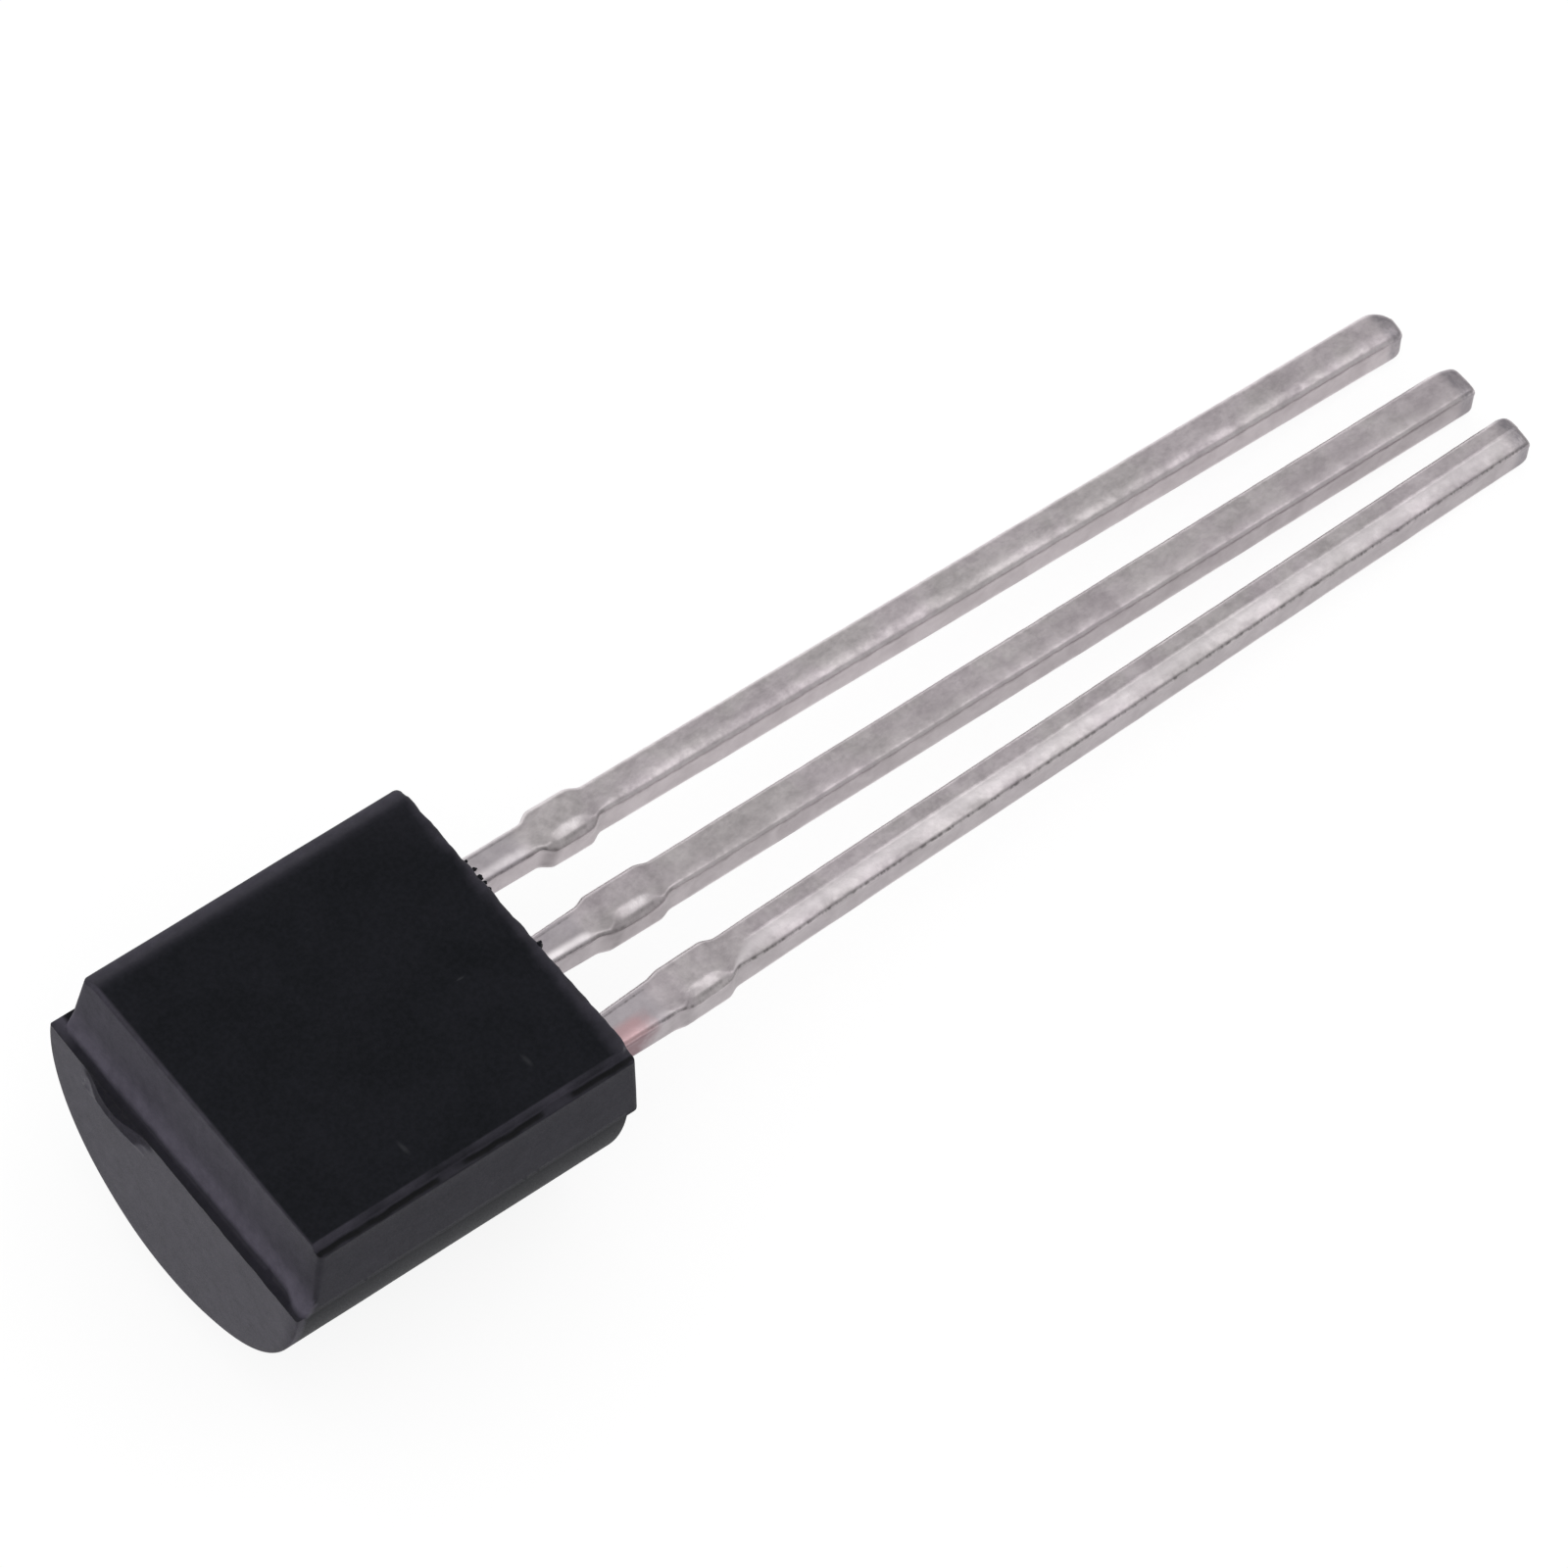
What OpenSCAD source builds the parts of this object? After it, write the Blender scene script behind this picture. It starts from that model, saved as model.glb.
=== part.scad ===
// TO-92 transistor: three stamped leads, a chip and two bond wires in one moulded block.
//
// Everything is drawn in the device's own frame and tipped into its rest pose at the end.
// In the device's frame +X runs from the body towards the lead tips, +Z comes out of the
// flat front, x = 0 is the lead end of the flat front, and z = 0 is the parting plane of
// the mould, which is also the middle of the lead frame's thickness.
// At rest it lies on its rounded back and on the tip of its longest lead.

/* [Moulded body] */
// Length of the flat front, from its top end to its lead end
face_len = 4.35; // [3.6:0.05:5.3]
// Width of the front half at the parting plane
front_w = 4.5; // [3.7:0.05:5.5]
// How much further than the front half the rounded half reaches on each side
back_flare = 0.05; // [0:0.01:0.1]
// How far the mould's rounded half sat to the side of its front half
back_shift = 0.07; // [0:0.01:0.12]
// Height of the flat front above the parting plane
front_h = 1.12; // [1:0.02:1.5]
// Draft of the front half's four walls, in degrees
front_draft = 4.5; // [1:0.5:8]
// Draft of the rounded half's two ends, in degrees
back_draft = 1; // [0.5:0.5:5]
// How far the rounded half stands out past the front half at the top end
top_ledge = 0.18; // [0.05:0.01:0.3]
// How far the rounded half is set back under the front half at the lead end
lead_end_setback = 0.16; // [0:0.01:0.3]
// Height of the raised front panel above the ledge on each long side
panel_step = 0.07; // [0.02:0.01:0.12]
// Width of the ledge on each long side
panel_ledge = 0.11; // [0.04:0.01:0.2]
// Run of the panel's sloped long edges
panel_slope = 0.05; // [0.01:0.01:0.1]

/* [Gate remnant on the top end] */
// Width of the stub left where the resin was broken off
gate_w = 1.2; // [0.6:0.1:1.6]
// Depth of the stub below the parting plane
gate_depth = 0.42; // [0.2:0.02:0.8]
// How far the stub stands out of the top end
gate_out = 0.1; // [0.02:0.01:0.2]
// Distance of the stub's middle from the body's middle
gate_offset = 0.95; // [0:0.05:1.1]

/* [Lead frame] */
// Distance between neighbouring leads where they leave the body
lead_pitch = 1.27; // [1.1:0.01:1.55]
// Thickness of the sheet the leads are stamped from
lead_t = 0.46; // [0.3:0.01:0.55]
// Width of a lead's shank
lead_w = 0.47; // [0.36:0.01:0.55]
// Radius of the shank's rolled edges
edge_r = 0.04; // [0.02:0.01:0.12]
// Radius of the corners of a lead's tip
tip_r = 0.13; // [0.05:0.01:0.16]
// How far the lead frame sits to the side of the body's middle
frame_offset = -0.09; // [-0.1:0.01:0.1]
// Distance from the body's lead end to the start of the dam-bar shoulder
dam_start = 1.06; // [0.8:0.02:1.4]
// Length of the dam-bar shoulder along the lead
dam_len = 0.94; // [0.6:0.02:1.2]
// Length of the shoulder's slope at each end
dam_ramp = 0.2; // [0.05:0.01:0.28]
// Depth of the hollow that cutting off the dam bar left in a shoulder's edge
scoop_depth = 0.1; // [0.03:0.01:0.13]
// How far that hollow reaches in over the shoulder's top
scoop_reach = 0.2; // [0.1:0.01:0.25]
// Length of that hollow along the shoulder's edge
scoop_len = 0.75; // [0.4:0.05:0.9]

/* [Emitter lead] */
// Distance from the flat front's lead end to the tip, along the lead
emitter_len = 14.33; // [11.5:0.01:17.5]
// Width where it leaves the body
emitter_root_w = 0.5; // [0.4:0.01:0.6]
// Width at the foot of its dam-bar shoulder
emitter_neck_w = 0.56; // [0.4:0.01:0.6]
// Width of its dam-bar shoulder
emitter_dam_w = 0.63; // [0.6:0.01:0.75]
// Sideways lean towards the collector lead, in degrees
emitter_lean = 1.5; // [0:0.1:2]

/* [Collector lead] */
// Distance from the flat front's lead end to the tip, along the lead
collector_len = 14.22; // [11.5:0.01:17.5]
// Width where it leaves the body
collector_root_w = 0.41; // [0.36:0.01:0.5]
// Width at the foot of its dam-bar shoulder
collector_neck_w = 0.48; // [0.36:0.01:0.55]
// Width of its dam-bar shoulder
collector_dam_w = 0.59; // [0.55:0.01:0.75]

/* [Base lead] */
// Distance from the flat front's lead end to the tip, along the lead
base_len = 14.05; // [11.5:0.01:17.5]
// Width where it leaves the body
base_root_w = 0.39; // [0.36:0.01:0.5]
// Width at the foot of its dam-bar shoulder
base_neck_w = 0.41; // [0.36:0.01:0.55]
// Width of its dam-bar shoulder
base_dam_w = 0.61; // [0.55:0.01:0.75]
// Sideways lean towards the collector lead, in degrees
base_lean = 0.65; // [0:0.05:2]

/* [Inside the body] */
// Gap between the bonding posts and the chip pad
pad_gap = 0.25; // [0.1:0.01:0.5]
// Length of the chip pad
pad_len = 1.8; // [1.2:0.05:2]
// Width of the chip pad
pad_w = 1.9; // [1.2:0.05:2.4]
// Corner chamfer of the chip pad
pad_chamfer = 0.2; // [0.05:0.05:0.3]
// Radius of the two notches that lock the pad in the resin
pad_notch_r = 0.16; // [0.05:0.01:0.2]
// Distance from the flat front's lead end to the inner end of the bonding posts
post_end = 1.25; // [1:0.05:1.6]
// Length of the widened bonding posts
post_len = 0.62; // [0.4:0.02:0.8]
// How far a post reaches past its lead's middle towards the collector lead
post_inward = 0.5; // [0.3:0.01:0.6]
// How far a post reaches past its lead's middle away from the collector lead
post_outward = 0.32; // [0.28:0.01:0.4]
// Side of the square chip
die_side = 0.5; // [0.3:0.01:0.8]
// Thickness of the chip
die_t = 0.2; // [0.1:0.01:0.25]
// Thickness of the layer under the chip
attach_t = 0.03; // [0.02:0.005:0.05]
// How far that layer spreads past each side of the chip
attach_margin = 0.03; // [0.01:0.01:0.08]
// Diameter of a bond wire
wire_d = 0.038; // [0.03:0.001:0.05]
// Height of a bond wire's loop above the line between its two ends
loop_h = 0.3; // [0.15:0.01:0.4]
// Diameter of the bond at each end of a wire
bond_d = 0.1; // [0.08:0.005:0.12]
// Height of the bond at each end of a wire
bond_h = 0.045; // [0.04:0.005:0.06]
// Distance of each wire's bond from the chip's middle, across the chip
bond_spread = 0.12; // [0.06:0.01:0.2]

/* [Hidden] */
$fn = 64;

body_colour = "#26262a";
tin_colour = "#c2bcb8";
silicon_colour = "#5b6674";
attach_colour = "#b9bcc0";
gold_colour = "#d9b24a";

// --- Derived places on the body ---
back_r = front_w / 2 + back_flare;
front_run = front_h * tan(front_draft);
back_run = back_r * tan(back_draft);
// The four places along X where the two halves meet the parting plane
front_top_x = -face_len - front_run;
front_lead_x = front_run;
back_top_x = front_top_x - top_ledge;
back_lead_x = front_lead_x - lead_end_setback;
// The widest places along Y
near_y = min(-front_w / 2, back_shift - back_r);
far_y = max(front_w / 2, back_shift + back_r);
// Half-widths of the front half at its ledges and of its raised panel
ledge_z = front_h - panel_step;
ledge_outer_y = front_w / 2 - ledge_z * tan(front_draft);
ledge_inner_y = ledge_outer_y - panel_ledge;
panel_y = ledge_inner_y - panel_slope;

// --- Derived places on the lead frame ---
emitter_y = frame_offset - lead_pitch;
collector_y = frame_offset;
base_y = frame_offset + lead_pitch;
lead_top = lead_t / 2;
// A lead bends, if it leans, just outside the body
bend_x = front_lead_x + 0.16;
shoulder_x = front_lead_x + dam_start;
shoulder_end_x = shoulder_x + dam_len;
shank_overlap = 0.02;
// Steps in each of a shoulder's S-shaped slopes
ramp_steps = 8;
// A shoulder's hollow is part of a round groove that slopes down towards the shoulder's side
scoop_slope = atan(scoop_depth / scoop_reach);
scoop_r = (scoop_len * scoop_len / 4 + scoop_depth * scoop_depth) / (2 * scoop_depth);

// --- Derived places of the chip pad, the chip and its wires ---
pad_start = post_end + pad_gap;
die_x = -pad_start - pad_len / 2;
attach_side = die_side + 2 * attach_margin;
die_bottom = lead_top + attach_t;
die_top = die_bottom + die_t;
post_x = -post_end + post_len / 2;
post_shift = (post_inward - post_outward) / 2;
emitter_post = [post_x, emitter_y + post_shift, lead_top];
base_post = [post_x, base_y - post_shift, lead_top];
emitter_chip_bond = [die_x, collector_y - bond_spread, die_top];
base_chip_bond = [die_x, collector_y + bond_spread, die_top];

// --- Rest pose: the back's lower edge at the lead end and the longest lead's tip are level ---
function tip_x(len, lean) = bend_x + (len - bend_x) * cos(lean);
reach = max(
    tip_x(emitter_len, emitter_lean),
    tip_x(collector_len, 0),
    tip_x(base_len, base_lean)
);
heel_x = back_lead_x - back_run;
pitch = atan2(back_r - lead_t / 2, reach - heel_x);
floor_drop = back_r * cos(pitch) + heel_x * sin(pitch);
rear_x = min(
    (back_top_x + back_run) * cos(pitch) - back_r * sin(pitch),
    (back_top_x - gate_out) * cos(pitch) - gate_depth * sin(pitch),
    back_top_x * cos(pitch)
);
tips_x = reach * cos(pitch) + lead_top * sin(pitch);

// Tips the device into its rest pose, with the origin under the middle of its box
module at_rest() {
    translate([-(rear_x + tips_x) / 2, -(near_y + far_y) / 2, floor_drop])
        rotate([0, pitch, 0])
            children();
}

// --- Moulded body ---

// Section across the body, in Y and Z: drafted front with its raised panel, round back
module cross_section() {
    polygon([
        [-front_w / 2, 0],
        [-ledge_outer_y, ledge_z],
        [-ledge_inner_y, ledge_z],
        [-panel_y, front_h],
        [panel_y, front_h],
        [ledge_inner_y, ledge_z],
        [ledge_outer_y, ledge_z],
        [front_w / 2, 0]
    ]);
    translate([back_shift, 0]) {
        intersection() {
            circle(r = back_r);
            translate([-back_r, -back_r])
                square([2 * back_r, back_r]);
        }
    }
}

// Outline of the body from the side, in X and Z: both halves' drafted ends and their steps
module side_outline() {
    polygon([
        [-face_len, front_h],
        [0, front_h],
        [front_lead_x, 0],
        [back_lead_x, 0],
        [back_lead_x - back_run, -back_r],
        [back_top_x + back_run, -back_r],
        [back_top_x, 0],
        [front_top_x, 0]
    ]);
}

// The mould's whole cavity, before the lead frame takes its room
module mould_cavity() {
    intersection() {
        translate([back_top_x, 0, 0])
            rotate([90, 0, 90])
                linear_extrude(front_lead_x - back_top_x)
                    cross_section();
        translate([0, far_y, 0])
            rotate([90, 0, 0])
                linear_extrude(far_y - near_y)
                    side_outline();
    }
}

// Stub of the resin runner, flush with the parting plane
module gate_remnant() {
    translate([back_top_x - gate_out, gate_offset - gate_w / 2, -gate_depth])
        cube([gate_out + back_run, gate_w, gate_depth]);
}

module moulded_body() {
    color(body_colour)
        at_rest()
            difference() {
                union() {
                    mould_cavity();
                    gate_remnant();
                }
                emitter_metal();
                collector_metal();
                base_metal();
                attach_layer();
                die_block();
                emitter_wire();
                base_wire();
            }
}

// --- Leads ---

// Rectangle w by t with rolled corners, centred
module rolled_section(w, t) {
    square([w, t - 2 * edge_r], center = true);
    square([w - 2 * edge_r, t], center = true);
    for (y = [-1, 1], z = [-1, 1]) {
        translate([y * (w / 2 - edge_r), z * (t / 2 - edge_r)])
            circle(r = edge_r);
    }
}

// Plan of a shank from x = 0 to its tip, with the tip's corners rounded
module shank_plan(len) {
    translate([0, -lead_w / 2])
        square([len - tip_r, lead_w]);
    translate([0, -lead_w / 2 + tip_r])
        square([len, lead_w - 2 * tip_r]);
    for (y = [-1, 1]) {
        translate([len - tip_r, y * (lead_w / 2 - tip_r)])
            circle(r = tip_r);
    }
}

// Shank of a lead from x = 0 to its tip, with rolled edges
module shank(len) {
    intersection() {
        rotate([90, 0, 90])
            linear_extrude(len)
                rolled_section(lead_w, lead_t);
        translate([0, 0, -lead_t / 2])
            linear_extrude(lead_t)
                shank_plan(len);
    }
}

// Points of an S-shaped slope that starts at x with half-width from and ends with half-width to
function s_slope(x, from, to) = [
    for (i = [0:ramp_steps])
        [x + dam_ramp * i / ramp_steps, (from + to) / 2 + (from - to) / 2 * cos(180 * i / ramp_steps)]
];

// Plan of the stamped neck and dam-bar shoulder, from the bend at x = 0 to the shank
module shoulder_plan(root_w, neck_w, dam_w) {
    side = concat(
        [[0, root_w / 2]],
        s_slope(shoulder_x - bend_x, neck_w / 2, dam_w / 2),
        s_slope(shoulder_end_x - bend_x - dam_ramp, dam_w / 2, lead_w / 2)
    );
    polygon(concat(side, [for (i = [len(side) - 1:-1:0]) [side[i][0], -side[i][1]]]));
}

// Room for the hollow in a shoulder's top edge on the emitter's side, from the bend at x = 0
module shoulder_scoop(dam_w) {
    translate([shoulder_x - bend_x + dam_len / 2, -dam_w / 2, lead_top - scoop_depth])
        rotate([scoop_slope, 0, 0])
            translate([0, 0, scoop_r])
                rotate([90, 0, 0])
                    cylinder(h = 4 * scoop_reach, r = scoop_r, center = true);
}

// One lead outside and just inside the body, as far as x = -inner_len
module lead_metal(y, length, root_w, neck_w, dam_w, lean, inner_len) {
    translate([0, y, 0]) {
        translate([-inner_len, -root_w / 2, -lead_t / 2])
            cube([inner_len + bend_x, root_w, lead_t]);
        translate([bend_x, 0, 0]) {
            cylinder(h = lead_t, d = root_w, center = true);
            rotate([0, 0, lean]) {
                difference() {
                    union() {
                        translate([0, 0, -lead_t / 2])
                            linear_extrude(lead_t)
                                shoulder_plan(root_w, neck_w, dam_w);
                        translate([shoulder_end_x - bend_x - shank_overlap, 0, 0])
                            shank(length - shoulder_end_x + shank_overlap);
                    }
                    shoulder_scoop(dam_w);
                }
            }
        }
    }
}

// Bonding post on the inner end of an outer lead; inward is +1 or -1 along Y
module bonding_post(y, inward) {
    width = post_inward + post_outward;
    translate([-post_end, y + inward * (post_inward - post_outward) / 2 - width / 2, -lead_t / 2])
        cube([post_len, width, lead_t]);
}

module emitter_metal() {
    lead_metal(
        emitter_y, emitter_len, emitter_root_w, emitter_neck_w, emitter_dam_w,
        emitter_lean, post_end - post_len
    );
    bonding_post(emitter_y, 1);
}

module base_metal() {
    lead_metal(
        base_y, base_len, base_root_w, base_neck_w, base_dam_w,
        -base_lean, post_end - post_len
    );
    bonding_post(base_y, -1);
}

// Plan of the chip pad: a rectangle with chamfered corners and two locking notches
module pad_plan() {
    difference() {
        polygon([
            [-pad_len, -pad_w / 2 + pad_chamfer],
            [-pad_len, pad_w / 2 - pad_chamfer],
            [-pad_len + pad_chamfer, pad_w / 2],
            [-pad_chamfer, pad_w / 2],
            [0, pad_w / 2 - pad_chamfer],
            [0, -pad_w / 2 + pad_chamfer],
            [-pad_chamfer, -pad_w / 2],
            [-pad_len + pad_chamfer, -pad_w / 2]
        ]);
        for (side = [-1, 1]) {
            translate([-pad_len / 2, side * pad_w / 2])
                circle(r = pad_notch_r);
        }
    }
}

module collector_metal() {
    lead_metal(
        collector_y, collector_len, collector_root_w, collector_neck_w, collector_dam_w,
        0, pad_start + shank_overlap
    );
    translate([-pad_start, collector_y, -lead_t / 2])
        linear_extrude(lead_t)
            pad_plan();
}

module emitter_lead() {
    color(tin_colour)
        at_rest()
            emitter_metal();
}

module collector_lead() {
    color(tin_colour)
        at_rest()
            collector_metal();
}

module base_lead() {
    color(tin_colour)
        at_rest()
            base_metal();
}

// --- Chip ---

module attach_layer() {
    translate([die_x - attach_side / 2, collector_y - attach_side / 2, lead_top])
        cube([attach_side, attach_side, attach_t]);
}

module die_block() {
    translate([die_x - die_side / 2, collector_y - die_side / 2, die_bottom])
        cube([die_side, die_side, die_t]);
}

module die_attach() {
    color(attach_colour)
        at_rest()
            attach_layer();
}

module silicon_die() {
    color(silicon_colour)
        at_rest()
            die_block();
}

// --- Bond wires ---

// Wire from one bond to another, as an arc that stands in the upright plane through both
module bond_wire(from, to) {
    lift = [0, 0, bond_h / 2];
    run = to - from;
    chord = norm(run);
    arc_r = (chord * chord / 4 + loop_h * loop_h) / (2 * loop_h);
    half_angle = asin(chord / 2 / arc_r);
    heading = atan2(run[1], run[0]);
    slope = -asin(run[2] / chord);
    for (foot = [from, to]) {
        translate(foot)
            cylinder(h = bond_h, d = bond_d);
    }
    translate(from + lift)
        rotate([0, slope, heading])
            translate([chord / 2, 0, loop_h - arc_r])
                rotate([90, 0, 0])
                    rotate([0, 0, 90 - half_angle])
                        rotate_extrude(angle = 2 * half_angle)
                            translate([arc_r, 0])
                                circle(d = wire_d);
}

module emitter_wire() {
    bond_wire(emitter_chip_bond, emitter_post);
}

module base_wire() {
    bond_wire(base_chip_bond, base_post);
}

module emitter_bond_wire() {
    color(gold_colour)
        at_rest()
            emitter_wire();
}

module base_bond_wire() {
    color(gold_colour)
        at_rest()
            base_wire();
}

moulded_body();
emitter_lead();
collector_lead();
base_lead();
die_attach();
silicon_die();
emitter_bond_wire();
base_bond_wire();
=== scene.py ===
"""Looks of a small three-lead transistor: a moulded block on a stamped, tinned lead frame.

Every size is in millimetres and in the device's own frame: +X runs from the block towards the
tips of its leads, +Z comes out of the flat front, and z = 0 is the parting plane of the mould.
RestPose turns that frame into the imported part's frame, in metres, when a mesh is finished.
"""

import logging
import math
from dataclasses import asdict, dataclass, field, fields
from enum import Enum
from typing import Callable, Sequence, Union

import bmesh
import bpy
import numpy as np
from mathutils import Matrix, Vector, noise


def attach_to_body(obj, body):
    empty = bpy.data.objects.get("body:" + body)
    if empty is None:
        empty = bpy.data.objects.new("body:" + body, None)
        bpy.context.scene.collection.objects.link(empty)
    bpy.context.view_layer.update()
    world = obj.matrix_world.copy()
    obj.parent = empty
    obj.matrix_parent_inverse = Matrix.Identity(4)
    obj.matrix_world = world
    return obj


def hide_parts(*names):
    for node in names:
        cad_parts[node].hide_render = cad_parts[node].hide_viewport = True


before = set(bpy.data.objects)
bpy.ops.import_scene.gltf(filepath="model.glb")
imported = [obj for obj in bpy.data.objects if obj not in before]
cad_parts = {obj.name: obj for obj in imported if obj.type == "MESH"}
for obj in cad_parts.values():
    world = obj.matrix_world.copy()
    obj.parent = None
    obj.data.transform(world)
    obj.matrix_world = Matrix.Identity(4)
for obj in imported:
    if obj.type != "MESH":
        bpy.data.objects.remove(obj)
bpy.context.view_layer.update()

LOG = logging.getLogger("transistor")
MM = 0.001
Colour = tuple[float, float, float]
Pair = tuple[float, float]
Number = Union[float, "Field"]
Node, Socket, Tree = bpy.types.Node, bpy.types.NodeSocket, bpy.types.NodeTree
Piece, Material, Mesh = bpy.types.Object, bpy.types.Material, bpy.types.Mesh


# --- Node trees ---------------------------------------------------------------------------


def math_method(operation: str, swapped: bool = False) -> Callable[..., "Field"]:
    """A method of Field that adds one Math node; swapped puts the field itself last."""

    def method(self: "Field", *others: Number) -> "Field":
        """Adds the Math node."""
        return self.graph.math(operation, *((*others, self) if swapped else (self, *others)))

    return method


class Field:
    """A number worked out by a node tree, on which ordinary arithmetic adds Math nodes."""

    __add__ = __radd__ = math_method("ADD")
    __sub__, __rsub__ = math_method("SUBTRACT"), math_method("SUBTRACT", swapped=True)
    __mul__ = __rmul__ = math_method("MULTIPLY")
    __truediv__, __pow__ = math_method("DIVIDE"), math_method("POWER")
    size, sign = math_method("ABSOLUTE"), math_method("SIGN")
    at_least, at_most, above = math_method("MAXIMUM"), math_method("MINIMUM"), math_method("GREATER_THAN")

    def __init__(self, graph: "Graph", socket: Socket) -> None:
        """Wraps one output socket of a graph."""
        self.graph, self.socket = graph, socket

    def ramp(self, start: Number, end: Number, smooth: bool = True) -> "Field":
        """Rises from 0 at start to 1 at end, eased at both ends or straight, and is held outside."""
        node = self.graph.add(
            "ShaderNodeMapRange",
            {"Value": self, "From Min": start, "From Max": end},
            interpolation_type="SMOOTHSTEP" if smooth else "LINEAR",
        )
        return Field(self.graph, node.outputs["Result"])

    def hump(self, middle: Number, half_width: Number) -> "Field":
        """A smooth bump, 1 at the middle and 0 from half_width away."""
        return 1.0 - (self - middle).size().ramp(0.0, half_width)


@dataclass
class Graph:
    """Adds nodes to one node tree and links them."""

    tree: Tree

    def add(self, kind: str, feeds: dict | None = None, **settings: object) -> Node:
        """Adds one node.

        Args:
            kind: Blender's name of the node's type.
            feeds: What each input is set to or linked from, by name, identifier or number.
            **settings: The node's own properties.

        Returns:
            The new node.
        """
        node = self.tree.nodes.new(kind)
        for name, value in settings.items():
            setattr(node, name, value)
        for key, value in (feeds or {}).items():
            self.feed(self.find(node.inputs, key), value)
        return node

    @staticmethod
    def find(sockets: bpy.types.bpy_prop_collection, key: int | str) -> Socket:
        """A socket by its number, its identifier or its name, in that order."""
        matching = [] if isinstance(key, int) else [s for s in sockets if s.identifier == key]
        return matching[0] if matching else sockets[key]

    def feed(self, socket: Socket, value: object) -> None:
        """Links a socket to a field or another socket, or sets its value; a colour gets its alpha."""
        if isinstance(value, Field):
            value = value.socket
        if isinstance(value, Socket):
            self.tree.links.new(value, socket)
        else:
            socket.default_value = (*value, 1.0) if socket.type == "RGBA" and len(value) == 3 else value

    def math(self, operation: str, *values: Number) -> Field:
        """One Math node on up to three numbers."""
        return self.field(self.add("ShaderNodeMath", dict(enumerate(values)), operation=operation))

    def field(self, node: Node, output: int | str = 0) -> Field:
        """One output of a node, as a number for arithmetic."""
        return Field(self, self.find(node.outputs, output))

    def attribute(self, mark: "Mark", output: str = "Fac") -> Field:
        """One of the mesh's own attributes, in a material."""
        return self.field(self.add("ShaderNodeAttribute", attribute_name=mark.value), output)

    def vector(self, x: Number, y: Number, z: Number) -> Socket:
        """Three numbers as one vector."""
        return self.add("ShaderNodeCombineXYZ", {0: x, 1: y, 2: z}).outputs[0]

    def split(self, vector: object) -> list[Field]:
        """The three numbers of a vector."""
        node = self.add("ShaderNodeSeparateXYZ", {0: vector})
        return [self.field(node, i) for i in range(3)]

    def cloud(
        self, place: object, scale: Number, detail: float = 2.0, rough: float = 0.5, twist: float = 0.0
    ) -> Field:
        """Soft noise, which mostly lies between 0.3 and 0.7.

        Args:
            place: Coordinates that the noise follows, as a socket or three numbers.
            scale: Features for each unit of those coordinates.
            detail: Finer layers on top of the first.
            rough: How strong the finer layers are.
            twist: How far the noise is twisted on itself.

        Returns:
            The noise.
        """
        place = self.vector(*place) if isinstance(place, tuple) else place
        feeds = {"Vector": place, "Scale": scale, "Detail": detail, "Roughness": rough, "Distortion": twist}
        return self.field(self.add("ShaderNodeTexNoise", feeds), "Fac")

    def blend(self, amount: Number, first: object, second: object) -> Socket:
        """Mixes two colours, from the first at 0 to the second at 1."""
        feeds = {"Factor_Float": amount, "A_Color": first, "B_Color": second}
        return self.find(self.add("ShaderNodeMix", feeds, data_type="RGBA").outputs, "Result_Color")


def label(name: str) -> str:
    """Label of the socket that a value goes to: "Patch Scale" for patch_scale."""
    return name.replace("_", " ").title()


def new_group(name: str, kind: str, inputs: dict, outputs: dict[str, str]) -> tuple[Graph, dict[str, Field]]:
    """Starts a node group with named sockets.

    Args:
        name: Name of the group.
        kind: ShaderNodeTree or GeometryNodeTree.
        inputs: Default value of each input, or its kind of socket where it has none, in order.
        outputs: Kind of socket of each output, in order.

    Returns:
        The group's graph and its inputs by label.
    """
    tree = bpy.data.node_groups.new(name, kind)
    kinds = {float: "Float", int: "Int", tuple: "Color"}
    for text, default in inputs.items():
        plain = isinstance(default, str)
        socket_type = "NodeSocket" + (default if plain else kinds[type(default)])
        socket = tree.interface.new_socket(text, in_out="INPUT", socket_type=socket_type)
        if not plain:
            socket.default_value = (*default, 1.0) if isinstance(default, tuple) else default
    for text, socket_kind in outputs.items():
        tree.interface.new_socket(text, in_out="OUTPUT", socket_type=f"NodeSocket{socket_kind}")
    graph = Graph(tree)
    entry = graph.add("NodeGroupInput")
    return graph, {text: Field(graph, entry.outputs[text]) for text in inputs}


# --- Shared surface effects ---------------------------------------------------------------


class Mark(Enum):
    """Mesh attributes that the finishes and the trees read."""

    EDGE_WEAR = "edge_wear"
    BROKEN = "broken"
    MATTE = "matte"
    # Painted sheen: paler resin that stands in for reflected light.
    BLOOM = "bloom"
    # Painted shade on the near ledge.
    GROOVE = "groove"
    ALONG = "along"
    SECTION = "section"
    LUMP_SIZE = "lump_size"


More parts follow.
